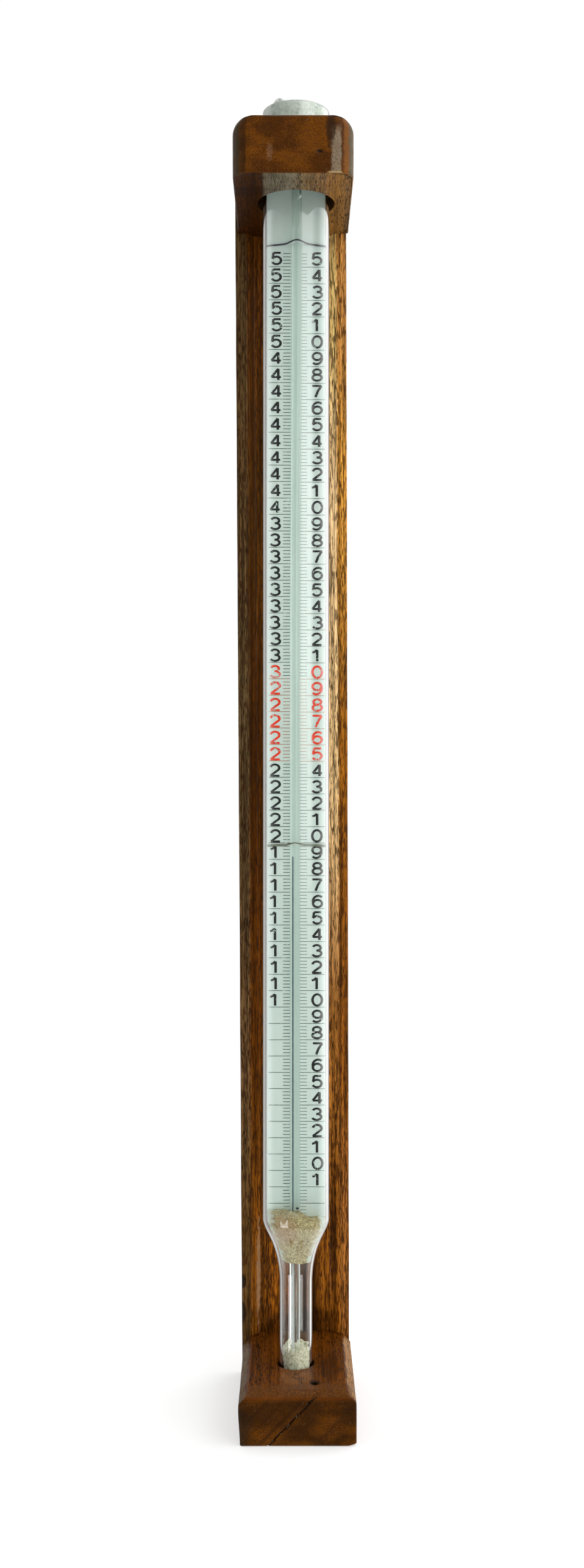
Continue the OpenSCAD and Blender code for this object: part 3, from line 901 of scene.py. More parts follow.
def back_board():
    """Board with a trough down its front, tapered, worn at its edges and bored for four screws."""
    half = BOARD_TOP_W / 2
    inner = half - RAIL_W
    floor_y = RAIL_Y + TROUGH_DEPTH
    flat = half - RAIL_W - SLOPE_W
    outline = rounded([
        (-half, RAIL_Y, 0.9), (-inner, RAIL_Y, 0.7), (-flat, floor_y, 1.2), (flat, floor_y, 1.2),
        (inner, RAIL_Y, 0.7), (half, RAIL_Y, 0.9), (half, BACK_Y, 1.2), (-half, BACK_Y, 1.2),
    ])
    middle_y = (RAIL_Y + BACK_Y) / 2
    rings = []
    end_round = [(0, 0.5), (0.15, 0.2), (0.5, 0)]
    levels = [*end_round]
    levels += [(z, 0) for z in steps(4, HOLDER_H - 4, 4)]
    levels += [(HOLDER_H - z, s) for z, s in reversed(end_round)]
    for z, shrink in levels:
        middle_x = (edge_x(-1, z) + edge_x(1, z)) / 2
        scale = (edge_x(1, z) - middle_x - shrink) / half
        ring = []
        for p in outline:
            x = middle_x + p.x * scale
            y = middle_y + (p.y - middle_y) * (1 - shrink / (BACK_Y - middle_y))
            worn = 0.18 * (1 + rough(x, y, z, 26))
            outward = math.copysign(1, p.x) if abs(p.x) > inner else 0
            x -= worn * outward * 0.6
            if p.y < middle_y:
                y += worn
            ring.append((x, y, z))
        rings.append(ring)
    board = make("board", *capped_loft(rings), BOARD_WOOD, "stand", "varnished_wood", ["back_board"])
    holes = []
    points, faces = lathe(SCREW_HOLE, Vector((0, 0, 0)), 32)
    for node in ("top_block_screws", "base_block_screws"):
        low, high = span(node)
        for x in (low.x + SCREW_HEAD_R, high.x - SCREW_HEAD_R):
            at = Matrix.Translation((x, BACK_Y, (low.z + high.z) / 2)) @ Matrix.Rotation(TAU / 4, 4, "X")
            holes.append(mesh_object("cutter", [at @ Vector(v) for v in points], faces))
    carve(board, holes)
    return board


def block_plan(x, w, r, z, side_in, front_in, pace):
    """Plan of a block at one level from its right rear corner, with the tongue that fills the trough."""
    half = w / 2 - side_in
    front = FRONT_Y + front_in
    r = max(r - side_in * 0.6, 0.6)
    gap = 0.1
    tongue_y = RAIL_Y + TROUGH_DEPTH - gap
    right = min(edge_x(1, z, RAIL_W + gap), x + half - gap)
    left = max(edge_x(-1, z, RAIL_W + gap), x - half + gap)
    plan = [(x + half, RAIL_Y), (right, RAIL_Y), (edge_x(1, z, RAIL_W + SLOPE_W + gap), tongue_y)]
    plan += [(edge_x(-1, z, RAIL_W + SLOPE_W + gap), tongue_y), (left, RAIL_Y)]
    plan += [(x - half, y) for y in spaced(RAIL_Y, front + r, 24)]
    plan += arc_of(x - half + r, front + r, r, 180)
    plan += [(px, front) for px in spaced(x - half + r, x + half - r, round((w - 2 * r) / pace))[1:-1]]
    plan += arc_of(x + half - r, front + r, r, 270)
    plan += [(x + half, y) for y in spaced(front + r, RAIL_Y, 24)[1:-1]]
    return [Vector(p) for p in plan]


def spaced(low, high, count):
    """A fixed count of evenly spaced values from low to high."""
    return [lerp(low, high, i / count) for i in range(count)] + [high]


def arc_of(x, y, r, start):
    """Quarter circle in plan, from an angle in degrees onwards."""
    count = 12
    return [turned(r, math.radians(start + 90 * i / count), x, y) for i in range(count + 1)]


def rounded_shoulder(depth):
    """Inset of the top block's sides at a depth below its top: nearly a quarter circle."""
    r = SHOULDER_ROUND
    return r - math.sqrt(r * r - (r - depth) ** 2) if depth < r else 0


def bevelled_shoulder(depth):
    """Inset of the base block's sides at a depth below its top: a plain bevel."""
    return soft(SIDE_BEVEL - depth, 0.5)


def block(name, node, material, x, w, corner_r, hole_r, pace, slope, shoulder, worn, floor_z=None):
    """A block round an upright hole.

    slope is the run and drop of the front upper edge. shoulder gives the inset of the sides by depth.
    A blind hole has a floor_z, and worn moves each finished point.
    """
    run, drop = slope
    low, high = span(node)
    z0, z1 = low.z, high.z
    levels = [(z0 + up, inset) for up, inset in FOOT_INSETS]
    levels += [(z, 0) for z in steps(z0 + 0.6, z1 - 1.2, pace)]
    levels += [(z1 - down, inset) for down, inset in TOP_INSETS]
    wall = []
    for z, extra in levels:
        side_in = min(shoulder(z1 - z), SIDE_BEVEL + 1) + extra
        front_in = soft(drop - (z1 - z), 0.25) * run / drop + soft(FOOT_BEVEL - (z - z0), 0.3) + extra
        plan = block_plan(x, w, corner_r, z, side_in, front_in, pace)
        wall.append([Vector((p.x, p.y, z)) for p in plan])
    axis = Vector((TUBE.x, TUBE.y))
    spokes = [(p.to_2d() - axis).normalized() for p in wall[len(wall) // 2]]

    def ring(r, z):
        return [Vector((*(axis + s * r), z)) for s in spokes]

    def between(outer, inner, shares):
        return [[a.lerp(b, t) for a, b in zip(outer, inner)] for t in shares]

    bottom = z0 if floor_z is None else floor_z
    lip = ring(hole_r + EDGE_WIDER, z1)
    rings = [*wall, *between(wall[-1], lip, (0.02, *steps(0, 1, 0.1)[1:-1], 0.98)), lip]
    rings.append(ring(hole_r + EDGE_MID_WIDER, z1 - EDGE_MID_DEPTH))
    rings += [ring(hole_r, z) for z in steps(z1 - 0.6, bottom + 0.6, 2)]
    if floor_z is None:
        foot = ring(hole_r + EDGE_WIDER, z0)
        rings += [ring(hole_r + EDGE_MID_WIDER, z0 + EDGE_MID_DEPTH), foot]
        rings += between(foot, wall[0], (0.02, 0.25, 0.5, 0.75, 0.98, 1))
    else:
        rings += [ring(hole_r * s, bottom) for s in (0.96, 0.5, 0)]
        rings = [ring(0, z0), *between(ring(0, z0), wall[0], (0.5, 0.8, 0.98)), *rings]
    verts = [worn(p) for r in rings for p in r]
    faces = grid(len(rings), len(spokes))
    return make(name, verts, faces, material, "stand", "varnished_block_wood", [node])


def hand_planed(p, depth=0.2):
    """Moves a point of a block in towards the block's middle by an uneven, small amount."""
    amount = depth * (1 + rough(p.x, p.y, p.z, 14)) / 2 + 0.06 * (1 + rough(p.x, p.y, p.z, 2.5)) / 2
    inward = Vector((TUBE.x - p.x, TUBE.y - p.y, 0))
    return p + inward.normalized() * amount if inward.length > SOCKET_R + 1 else p


def top_block():
    """Block with a through bore and a small nick in its front."""
    def worn(p):
        moved = hand_planed(p) if (p.to_2d() - TUBE.to_2d()).length > BORE_HOLE_R + 1 else p.copy()
        nick = math.hypot(p.x - NICK_X, p.z - NICK_Z) / 1.1
        if p.y < FRONT_Y + 1:
            moved.y += 0.7 * math.exp(-nick * nick)
        return moved

    return block(
        "block_top", "top_block", TOP_WOOD, TOP_BLOCK_X, TOP_BLOCK_W, TOP_CORNER_R, BORE_HOLE_R, 0.9,
        (TOP_FRONT_BEVEL, TOP_FRONT_BEVEL), rounded_shoulder, worn,
    )


def crack_x(z):
    """Sideways place of the crack in the base block's front at a height."""
    return lerp(CRACK_FOOT_X, CRACK_HEAD_X, z / BASE_HIGH.z) + CRACK_WAVE * math.sin(CRACK_TURN * z)


def base_block():
    """Block with a blind socket, a crack, a nail hole and a chipped foot."""
    tilt = BASE_TILT / BASE_BLOCK_W

    def worn(p):
        moved = hand_planed(p, 0.25)
        if p.y < FRONT_Y + 2.6:
            off = (p.x - crack_x(p.z)) / CRACK_HALF_W
            open_share = 0.7 + 0.3 * math.sin(p.z * 1.7 + 2)
            moved.y += CRACK_DEPTH * open_share * math.exp(-off * off)
        if p.z > 0:
            moved.z = p.z * (1 + tilt * (p.x - BASE_BLOCK_X) / BASE_HIGH.z)
        chip = smoothstep(23.5, 27.5, p.x) * (1 - smoothstep(0, 3, p.z)) * (p.y < FRONT_Y + 4)
        moved.z += CHIP_DEPTH * chip
        moved.x += 0.8 * smoothstep(-18, -24, p.x) * (1 - smoothstep(0, 16, p.z))
        return moved

    base = block(
        "block_base", "base_block", BASE_WOOD, BASE_BLOCK_X, BASE_BLOCK_W, BASE_CORNER_R, SOCKET_R, 0.45,
        (BASE_SLOPE_RUN, BASE_SLOPE_DROP), bevelled_shoulder, worn, SOCKET_FLOOR,
    )

    def lumpy(a, r, z):
        return 0.18 * math.sin(2 * a + z) + 0.1 * math.sin(5 * a) if r else 0

    carve(base, [mesh_object("cutter", *lathe(NAIL_HOLE_SIDE, Vector((*NAIL_HOLE, 0)), 28, lumpy))])
    return base


# ---- glass ----


def envelope_side(inset):
    """Side of the envelope from the foot of its stem up to the straight wall, set in by a depth."""
    wide, narrow = TUBE_R - inset, STEM_R - inset
    foot_z = STEM_END_Z + STEM_R
    draw = [
        (wide, SHOULDER_Z), (wide, SHOULDER_Z - WIDE_RUN),
        (narrow + NARROW_RUN_R, SHOULDER_Z - NARROW_RUN_Z), (narrow, NECK_Z),
    ]
    side = bow(narrow, foot_z, -TAU / 4, 0, TAU / 72)
    side += [(narrow, z) for z in steps(foot_z, NECK_Z, 5)[1:]]
    side += [tuple(bezier([p[i] for p in draw], 1 - t) for i in (0, 1)) for t in steps(0, 1, 1 / 30)[1:]]
    return side


def glass_envelope():
    """Wide tube drawn in to the stem, with a round lip and uneven glass at the neck."""
    def blown(a, r, z):
        near_neck = smoothstep(52, 60, z) * (1 - smoothstep(78, 92, z))
        return 0.07 * near_neck * rough(4 * math.cos(a), 4 * math.sin(a), z, 3.5) if r > 1 else 0

    lip_r = GLASS_T / 2
    lip = bow(lip_r, RIM_Z - lip_r, 0, TAU / 2, 0.4, TUBE_R - lip_r)
    wall = steps(SHOULDER_Z, RIM_Z - lip_r, 25)[1:-1]
    outer = envelope_side(0) + [(TUBE_R, z) for z in wall]
    inner = envelope_side(GLASS_T) + [(TUBE_R - GLASS_T, z) for z in wall]
    profile = outer + lip + inner[::-1]
    verts, faces = lathe(profile, TUBE, 128, blown)
    return make("tube", verts, faces, TUBE_GLASS, "thermometer", "clear_glass", ["glass_envelope"])


def ring_at(x, y, z, r, sides):
    """A level ring of points round an upright axis."""
    return [(*turned(r, TAU * i / sides, x, y), z) for i in range(sides)]


def rod_lean(z):
    """How far the rod's outside stands to the right of its axis near the top."""
    return 0.9 * smoothstep(330, 545, z)


def capillary():
    """The rod with its bulb, and the hollow inside that draws in to an off-centre bore."""
    sides = 64
    shoulder = math.acos(ROD_R / BULB_R)
    rod_top_z = ROD_HIGH.z - ROD_R
    outside = bow(BULB_R, BULB_LOW_Z, -TAU / 4, 0, 0.15)
    outside += bow(BULB_R, BULB_HIGH_Z, 0, shoulder, 0.15)
    outside += [(ROD_R, z) for z in steps(BULB_HIGH_Z + 3, rod_top_z, 30)]
    outside += bow(ROD_R, rod_top_z, 0, TAU / 4, 0.15)[1:]
    hollow_r = BULB_R - BULB_T
    rings = [
        ring_at(ROD.x, ROD.y, BULB_LOW_Z + hollow_r * math.sin(a), hollow_r * math.cos(a), sides)
        for a in steps(-TAU / 4, 0, 0.15)
    ]
    for a in steps(0, math.acos(FINE_BORE_R / hollow_r), 0.12):
        x = lerp(ROD.x, BORE.x, smoothstep(0, 1, math.sin(a)))
        rings.append(ring_at(x, ROD.y, BULB_HIGH_Z + hollow_r * math.sin(a), hollow_r * math.cos(a), sides))
    rings += [ring_at(BORE.x, ROD.y, z, FINE_BORE_R, sides) for z in steps(BULB_HIGH_Z + 4, BORE_TOP_Z, 30)]
    rings.append(ring_at(BORE.x, ROD.y, BORE_TOP_Z + 0.2, 0, sides))
    hollow = [p for ring in rings for p in ring], grid(len(rings), sides)
    verts, faces = lathe(outside, ROD, sides)
    leaning = [(v[0] + rod_lean(v[2]), v[1], v[2]) for v in verts]
    verts, faces = joined((leaning, faces), hollow)
    return make("capillary_rod", verts, faces, ROD_GLASS, "thermometer", "clear_glass", ["capillary_tube"])


def scale_plate():
    """Flat plate with slightly rounded edges."""
    half_w = (PLATE_HIGH.x - PLATE_LOW.x) / 2
    y0, y1 = PLATE_LOW.y, PLATE_HIGH.y
    outline = rounded([(-half_w, y0, 0.3), (half_w, y0, 0.3), (half_w, y1, 0.3), (-half_w, y1, 0.3)], 3)
    mid_y = (y0 + y1) / 2
    levels = [(PLATE_LOW.z, 0.3), (PLATE_LOW.z + 0.1, 0.1), (PLATE_LOW.z + 0.3, 0)]
    levels += [(z, 0) for z in steps(PLATE_LOW.z + 5, PLATE_HIGH.z - 5, 12)]
    levels += [(PLATE_HIGH.z - 0.3, 0), (PLATE_HIGH.z - 0.1, 0.1), (PLATE_HIGH.z, 0.3)]
    rings = []
    for z, shrink in levels:
        sx, sy = 1 - shrink / half_w, 1 - shrink / (y1 - mid_y)
        rings.append([(TUBE.x + p.x * sx, mid_y + (p.y - mid_y) * sy, z) for p in outline])
    plate = capped_loft(rings)
    return make("scale_plate_glass", *plate, PLATE_GLASS, "thermometer", "milk_glass", ["scale_plate"])


# ---- marks on the plate ----

INK_OUT = 0.06
INK_IN = 0.04
DIGIT_W = 4.2
DIGIT_H = 5.1
PEN_UPRIGHT = 0.57
PEN_LEVEL = 0.46
TENS_X = -11.45
UNITS_X = 7.4
LEFT_LINE = (-12.3, -2.4)
RIGHT_LINE = (1.3, 13.0)
LEFT_TICK = (-5.82, -2.4)
RIGHT_TICK = (1.3, 4.92)
LOWEST_LEFT_TICK = (-5.6, -2.6)
LOWEST_RIGHT_TICK = (1.5, 4.7)


def arc(cx, cz, rx, rz, start, end):
    """Points along part of an ellipse; angles in degrees, anticlockwise from the right."""
    count = max(3, round(abs(end - start) / 9))
    angles = [math.radians(a) for a in spaced(start, end, count)]
    return [(cx + rx * math.cos(a), cz + rz * math.sin(a)) for a in angles]


def digit_strokes():
    """Middle lines of the ten digits in a box DIGIT_W wide and DIGIT_H high."""
    w, h = DIGIT_W, DIGIT_H
    m = w / 2
    four_x, four_z = 0.72 * w, 0.27 * h
    six = [arc(m, 1.62, 2.0, 1.62, 0, 360), arc(m + 0.35, h / 2 + 0.1, m + 0.3, h / 2 - 0.1, 190, 48)]
    return {
        "0": [arc(m, h / 2, m, h / 2, 0, 360)],
        "1": [[(m, 0), (m, h)], [(m, h), *arc(m - 2.3, h + 0.9, 2.2, 2.0, -35, -88)]],
        "2": [arc(m, h - 1.55, 1.95, 1.55, 170, -30) + [(2.4, 1.75), (0.15, 0.1)], [(0, 0), (w, 0)]],
        "3": [arc(m - 0.1, h - 1.25, 1.75, 1.25, 160, -95), arc(m - 0.1, 1.35, 2.05, 1.35, 95, -160)],
        "4": [[(four_x, h), (0, four_z)], [(0, four_z), (w, four_z)], [(four_x, 0), (four_x, h)]],
        "5": [[(0.65, h), (3.9, h)], [(0.65, h), (0.3, 2.5)], arc(m - 0.1, 1.68, 2.05, 1.68, 155, -155)],
        "6": six,
        "7": [[(0, h), (w, h)], [(w, h), (2.6, 2.8), (1.45, 0)]],
        "8": [arc(m, h - 1.2, 1.75, 1.2, 0, 360), arc(m, 1.35, 2.05, 1.35, 0, 360)],
        "9": [[(w - x, h - z) for x, z in stroke] for stroke in six],
    }


def ribbon(points, layer):
    """A flat stroke of the pen along points on the plate, as a thin closed slab."""
    count = len(points)
    looped = math.dist(points[0], points[-1]) < 0.01
    face_y = PLATE_LOW.y
    rows = []
    for i, (x, z) in enumerate(points):
        before = points[i - 1] if i > 0 else (points[-2] if looped else points[0])
        after = points[i + 1] if i < count - 1 else (points[1] if looped else points[-1])
        dx, dz = after[0] - before[0], after[1] - before[1]
        length = math.hypot(dx, dz)
        across = Vector((-dz / length * PEN_UPRIGHT, dx / length * PEN_LEVEL))
        out_y, in_y = face_y - INK_OUT - layer, face_y + INK_IN
        left, right = (x + across.x, z + across.y), (x - across.x, z - across.y)
        rows.append([(left[0], out_y, left[1]), (right[0], out_y, right[1]),
                     (right[0], in_y, right[1]), (left[0], in_y, left[1])])
    verts = [p for row in rows for p in row]
    ends = [] if looped else [(0, 1, 2, 3), tuple(range(len(verts) - 4, len(verts)))]
    return verts, grid(count, 4) + ends


def digit(character, x, z, strokes):
    """One digit with its box's lower left corner at x, z. Each stroke lies in a layer of its own."""
    parts = []
    for layer, stroke in enumerate(strokes[character]):
        placed = [(x + px, z + pz) for px, pz in stroke]
        parts.append(ribbon(placed, 0.004 * layer))
    return joined(*parts)


def line(ends, z, thick):
    """One engraved line between two places beside the axis, slightly uneven in length and slope."""
    x0, x1 = (TUBE.x + end for end in ends)
    jitter = 0.12 * rough(x0 * 3, z * 5, 0, 7)
    z += 0.05 * rough(x0, z, 9, 5)
    slope = 0.05 * rough(z, x0, 4, 11)
    out_y, in_y = PLATE_LOW.y - INK_OUT, PLATE_LOW.y + INK_IN
    verts = []
    for px, dz in ((x0 + jitter, -slope), (x1 + jitter * 0.5, slope)):
        for y, up in ((out_y, -1), (in_y, -1), (in_y, 1), (out_y, 1)):
            verts.append((px, y, z + dz + up * thick / 2))
    return verts, [*grid(2, 4), (0, 1, 2, 3), (4, 5, 6, 7)]


def reading_z(reading):
    """Height of a reading. The hand-divided scale opens out slightly towards both ends."""
    raised = 0.28 * (1 - smoothstep(32, 50, reading)) + 0.6 * (1 - smoothstep(-2, 12, reading))
    return ZERO_Z + reading * UNIT_H + 2.4e-5 * (reading - 20) ** 3 + raised


def scale_marks():
    """Every line and number of the scale, sorted by the paint that fills it."""
    strokes = digit_strokes()
    paint = {"black": [], "red": [], "line": [], "red_line": []}
    for reading in range(LOWEST_LINE, TOP_READING + 1):
        z = reading_z(reading)
        right_z = z - 0.25 * smoothstep(18, 28, reading)
        red = reading in RED_READINGS
        lines = paint["red_line" if red else "line"]
        lines.append(line(LEFT_LINE, z, 0.26))
        lines.append(line(RIGHT_LINE, right_z, 0.24))
        for fifth in range(1, 5):
            up = fifth * UNIT_H / 5
            ticks = paint["red_line" if reading in RED_READINGS[:-1] else "line"]
            ticks.append(line(LEFT_TICK, z + up, 0.28))
            ticks.append(line(RIGHT_TICK, right_z + up, 0.22))
        if reading > LOWEST_LINE:
            text = str(abs(reading))
            marks = paint["red" if red else "black"]
            wander = 0.35 * rough(reading * 3.7, 1, 2, 1.3)
            foot = 0.65 + 0.5 * smoothstep(34, 48, reading)
            drift = 0.6 * smoothstep(36, 54, reading)
            if len(text) == 2:
                marks.append(digit(text[0], TUBE.x + TENS_X + drift + wander, z + foot, strokes))
            marks.append(digit(text[-1], TUBE.x + UNITS_X - wander, right_z + foot, strokes))
    for fifth in range(1, 4):
        tick_z = reading_z(LOWEST_LINE - fifth / 5)
        paint["line"].append(line(LOWEST_LEFT_TICK, tick_z, 0.2))
        paint["line"].append(line(LOWEST_RIGHT_TICK, tick_z, 0.18))
    materials = {"black": BLACK_INK, "red": RED_INK, "line": LINE_INK, "red_line": RED_LINE_INK}
    for name, parts in paint.items():
        make("scale_" + name, *joined(*parts), materials[name], "thermometer", "milk_glass")


# ---- mercury, wires, packing ----


def mercury_parts():
    """The column and its domed head, which rides on the top of the mercury."""
    foot_z, head_z = THREAD_LOW.z, THREAD_HIGH.z
    levels = steps(foot_z, head_z, 4)
    rings = [ring_at(BORE.x, BORE.y, z, FINE_THREAD_R, 12) for z in levels]
    thread = make("mercury_column", *capped_loft(rings), MERCURY, None, "mercury", ["mercury_thread"])
    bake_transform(thread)
    top_z = span("mercury_meniscus")[1].z
    dome = [(FINE_THREAD_R, head_z), (FINE_THREAD_R, top_z - FINE_THREAD_R)]
    dome += bow(FINE_THREAD_R, top_z - FINE_THREAD_R, 0, TAU / 4, 0.3)[1:]
    verts, faces = lathe([(0, head_z), *dome], BORE, 12)
    make("mercury_head", verts, faces, MERCURY, "mercury_top", "mercury", ["mercury_meniscus"])


UPPER_WIRE_R = 0.35
LOWER_WIRE_R = 0.2
LOWER_WIRE_GAP = 0.22
TWIST_R = 0.3
TWISTED_WIRE_R = 0.22
HANGER_R = 0.17


def round_plate_and_rod(z, lift, sag, gap):
    """Path of a wire bound round plate and rod, lifted at the rod and sagging towards the edges."""
    x0, x1 = PLATE_LOW.x - gap, PLATE_HIGH.x + gap
    y0, y1 = PLATE_LOW.y - gap, PLATE_HIGH.y + gap
    mid_y = (y0 + y1) / 2
    rod_front = ROD.y - ROD_R - gap
    side = ROD_R + 2.2
    rod_x = ROD.x + rod_lean(z)
    front = [
        (x0 + 1, y0, z - sag),
        (rod_x - side - 3, y0 - 0.1, z - sag * 0.55),
        (rod_x - side, y0 - 0.5, z - sag * 0.2),
        (rod_x - ROD_R + 0.3, rod_front + 1.5, z + lift * 0.6),
        (rod_x, rod_front, z + lift),
        (rod_x + ROD_R - 0.3, rod_front + 1.5, z + lift * 0.6),
        (rod_x + side, y0 - 0.5, z - sag * 0.2),
        (rod_x + side + 3, y0 - 0.1, z - sag * 0.6),
        (x1 - 1, y0, z - sag * 1.15),
    ]
    back = [(x1, mid_y, z - sag), (x1 - 1, y1, z - sag), (TUBE.x, y1 + 0.1, z - sag / 2)]
    back += [(x0 + 1, y1, z - sag), (x0, mid_y, z - sag)]
    return [*front, *back, front[0]]


def twist(z, gap):
    """The two ends of a binding wire, twisted together behind the plate."""
    strands = []
    for phase in (0, math.pi):
        path = []
        for t in steps(0, 1, 1 / 28):
            a = phase + t * 2.5 * TAU
            y = PLATE_HIGH.y + gap + 0.4 + TWIST_R * math.sin(a)
            path.append((TUBE.x + TWIST_R * math.cos(a), y, z + 0.3 - 6 * t))
        strands.append(sweep(path, TWISTED_WIRE_R, 8))
    return strands


def binding_wires():
    """Wires that tie the rod to the plate: one dark, and one of two frayed greenish strands."""
    upper_z = middle("upper_binding_wire").z
    lower_z = middle("lower_binding_wire").z
    loop = curve_through(round_plate_and_rod(upper_z - 0.4, 0.05, 1.1, UPPER_WIRE_R))
    upper = joined(sweep(loop, UPPER_WIRE_R), *twist(upper_z, UPPER_WIRE_R))
    make("binding_upper", *upper, DARK_WIRE, "thermometer", "dark_wire", ["upper_binding_wire"])
    strands = []
    for offset, lift in ((0.3, 0.8), (-0.3, 1.3)):
        path = curve_through(round_plate_and_rod(lower_z + offset, lift, 0.35, LOWER_WIRE_GAP))
        strands.append(sweep(path, LOWER_WIRE_R))
    for k in range(5):
        y = PLATE_LOW.y - 0.3
        end_x = PLATE_HIGH.x - 0.2 - 0.5 * k
        fray = [
            (end_x - 1.6, y, lower_z - 0.4),
            (end_x - 0.6, y - 0.2, lower_z - 0.7 - 0.1 * k),
            (end_x, y - 0.1, lower_z - 1.0 - 0.35 * math.sin(3 * k)),
        ]
        strands.append(sweep(curve_through(fray), lambda t: 0.11 * (1.2 - t), 6))
    lower = joined(*strands, *twist(lower_z, LOWER_WIRE_GAP))
    make("binding_lower", *lower, GREEN_WIRE, "thermometer", "green_wire", ["lower_binding_wire"])


def hanger():
    """A short wire that hangs from the plug, with a bead with a tail on its end."""
    low, high = span("hanger_wire")
    x, y = middle("hanger_wire").to_2d()
    x += rod_lean(low.z)
    down = [(x, y, high.z), (x + 0.1, y, lerp(low.z, high.z, 0.6))]
    down += [(x, y, low.z + 0.6), (x - 0.2, y, low.z)]
    wire_mesh = sweep(curve_through(down), HANGER_R)
    make("hanger", *wire_mesh, DARK_WIRE, "thermometer", "dark_wire", ["hanger_wire"])
    z = middle("hanger_bead").z
    comma = [
        (x - 0.55, y, z + 1.3), (x - 0.2, y, z + 0.75), (x + 0.15, y, z + 0.1),
        (x - 0.4, y, z - 0.7), (x - 1.0, y, z - 1.2), (x - 1.5, y, z - 1.8),
    ]

    def blob(t):
        body = 0.56 * math.exp(-(((t - 0.42) / 0.2) ** 2))
        return 0.16 + body + 0.1 * math.exp(-(((t - 0.05) / 0.1) ** 2))

    bead = sweep(curve_through(comma, 8), blob, 14)
    make("bead", *bead, BEAD_GLASS, "thermometer", "milk_glass", ["hanger_bead"])


def lump_mesh(profile, push, turns, lift):
    """Points and faces of a lumpy closed mass round the tube's axis.

    push(angle, height) adds to each point's radius, and lift(angle, radius, height) to its height.
    """
    verts = []
    for r, z in profile:
        for i in range(turns):
            a = TAU * i / turns
            rr = max(r + (push(a, z) if r else 0), 0)
            x, y = turned(rr, a, TUBE.x, TUBE.y)
            verts.append((x, y, z + lift(a, rr, z) + (0.4 * rough(x, y, z, 2.2) if r else 0)))
    return verts, grid(len(profile), turns)


def lump(name, profile, push, material, slot, replaces, turns, lift):
    """A lumpy mass as one piece of the thermometer."""
    verts, faces = lump_mesh(profile, push, turns, lift)
    return make(name, verts, faces, material, "thermometer", slot, replaces)


def shoulder_packing():
    """Sandy grains that fill the shoulder and cling to the glass higher up."""
    sides = [
        (0, 68.6), (4, 68.9), (6.8, 69.2), (7.1, 70.5), (7.8, 73), (8.6, 75.5), (9.5, 78), (10.6, 80.3),
        (11.8, 82.8), (12.7, 85), (13.2, 87), (13.4, 90), (13.0, 91.8), (11.5, 92.4), (8, 92.6), (0, 92.6),
    ]
    profile = []
    for (r0, z0), (r1, z1) in zip(sides, sides[1:]):
        profile += [(lerp(r0, r1, t), lerp(z0, z1, t)) for t in spaced(0, 1, 4)[:-1]]
    profile.append(sides[-1])

    def push(a, z):
        x, y = turned(1, a)
        uneven = 0.25 * rough(9 * x, 9 * y, z, 4) + 0.2 * rough(9 * x, 9 * y, z, 1.3)
        return min(uneven - 0.1, 0)

    def drop(a, r, z):
        """The top falls away to the right and is ragged."""
        x, y = turned(r, a)
        high = smoothstep(82, 92, z)
        ragged = 0.9 * rough(x, y, 0, 4) + 0.6 * rough(x, y, 5, 1.6)
        return high * (ragged - 0.8 - 2.4 * smoothstep(0.5, 4, x) - 0.06 * x) - 0.08 * x * (1 - high)

    lump("packing_shoulder", profile, push, SAND, "sand_packing", ["shoulder_packing"], 120, drop)
    grit = crumb(TUBE.x + 0.6, ROD.y - ROD_R - 0.7, 93.8, 0.6, 3)
    make("packing_grit", *grit, GRIT, "thermometer", "sand_packing")


GOLDEN_ANGLE = 2.4
GOLDEN_SHARE = 0.618


def crumb(x, y, z, size, seed):
    """One small irregular grain."""
    profile = [(size * math.cos(a), z + size * 0.8 * math.sin(a)) for a in steps(-TAU / 4, TAU / 4, 0.5)]

    def craggy(a, r, h):
        return r * 0.5 * rough(3 * math.cos(a) + seed, 3 * math.sin(a), (h - z) / size, 1.1)

    return lathe(profile, Vector((x, y, 0)), 10, craggy)


def loose_crumbs(r_and_z, least_size):
    """Separate grains round the axis, one for each (radius, height), turning by the golden angle."""
    grains = []
    for k, (r, z) in enumerate(r_and_z):
        size = least_size + 0.3 * ((k * 0.37) % 1)
        grains.append(crumb(*turned(r, GOLDEN_ANGLE * k, TUBE.x, TUBE.y), z, size, k))
    return grains


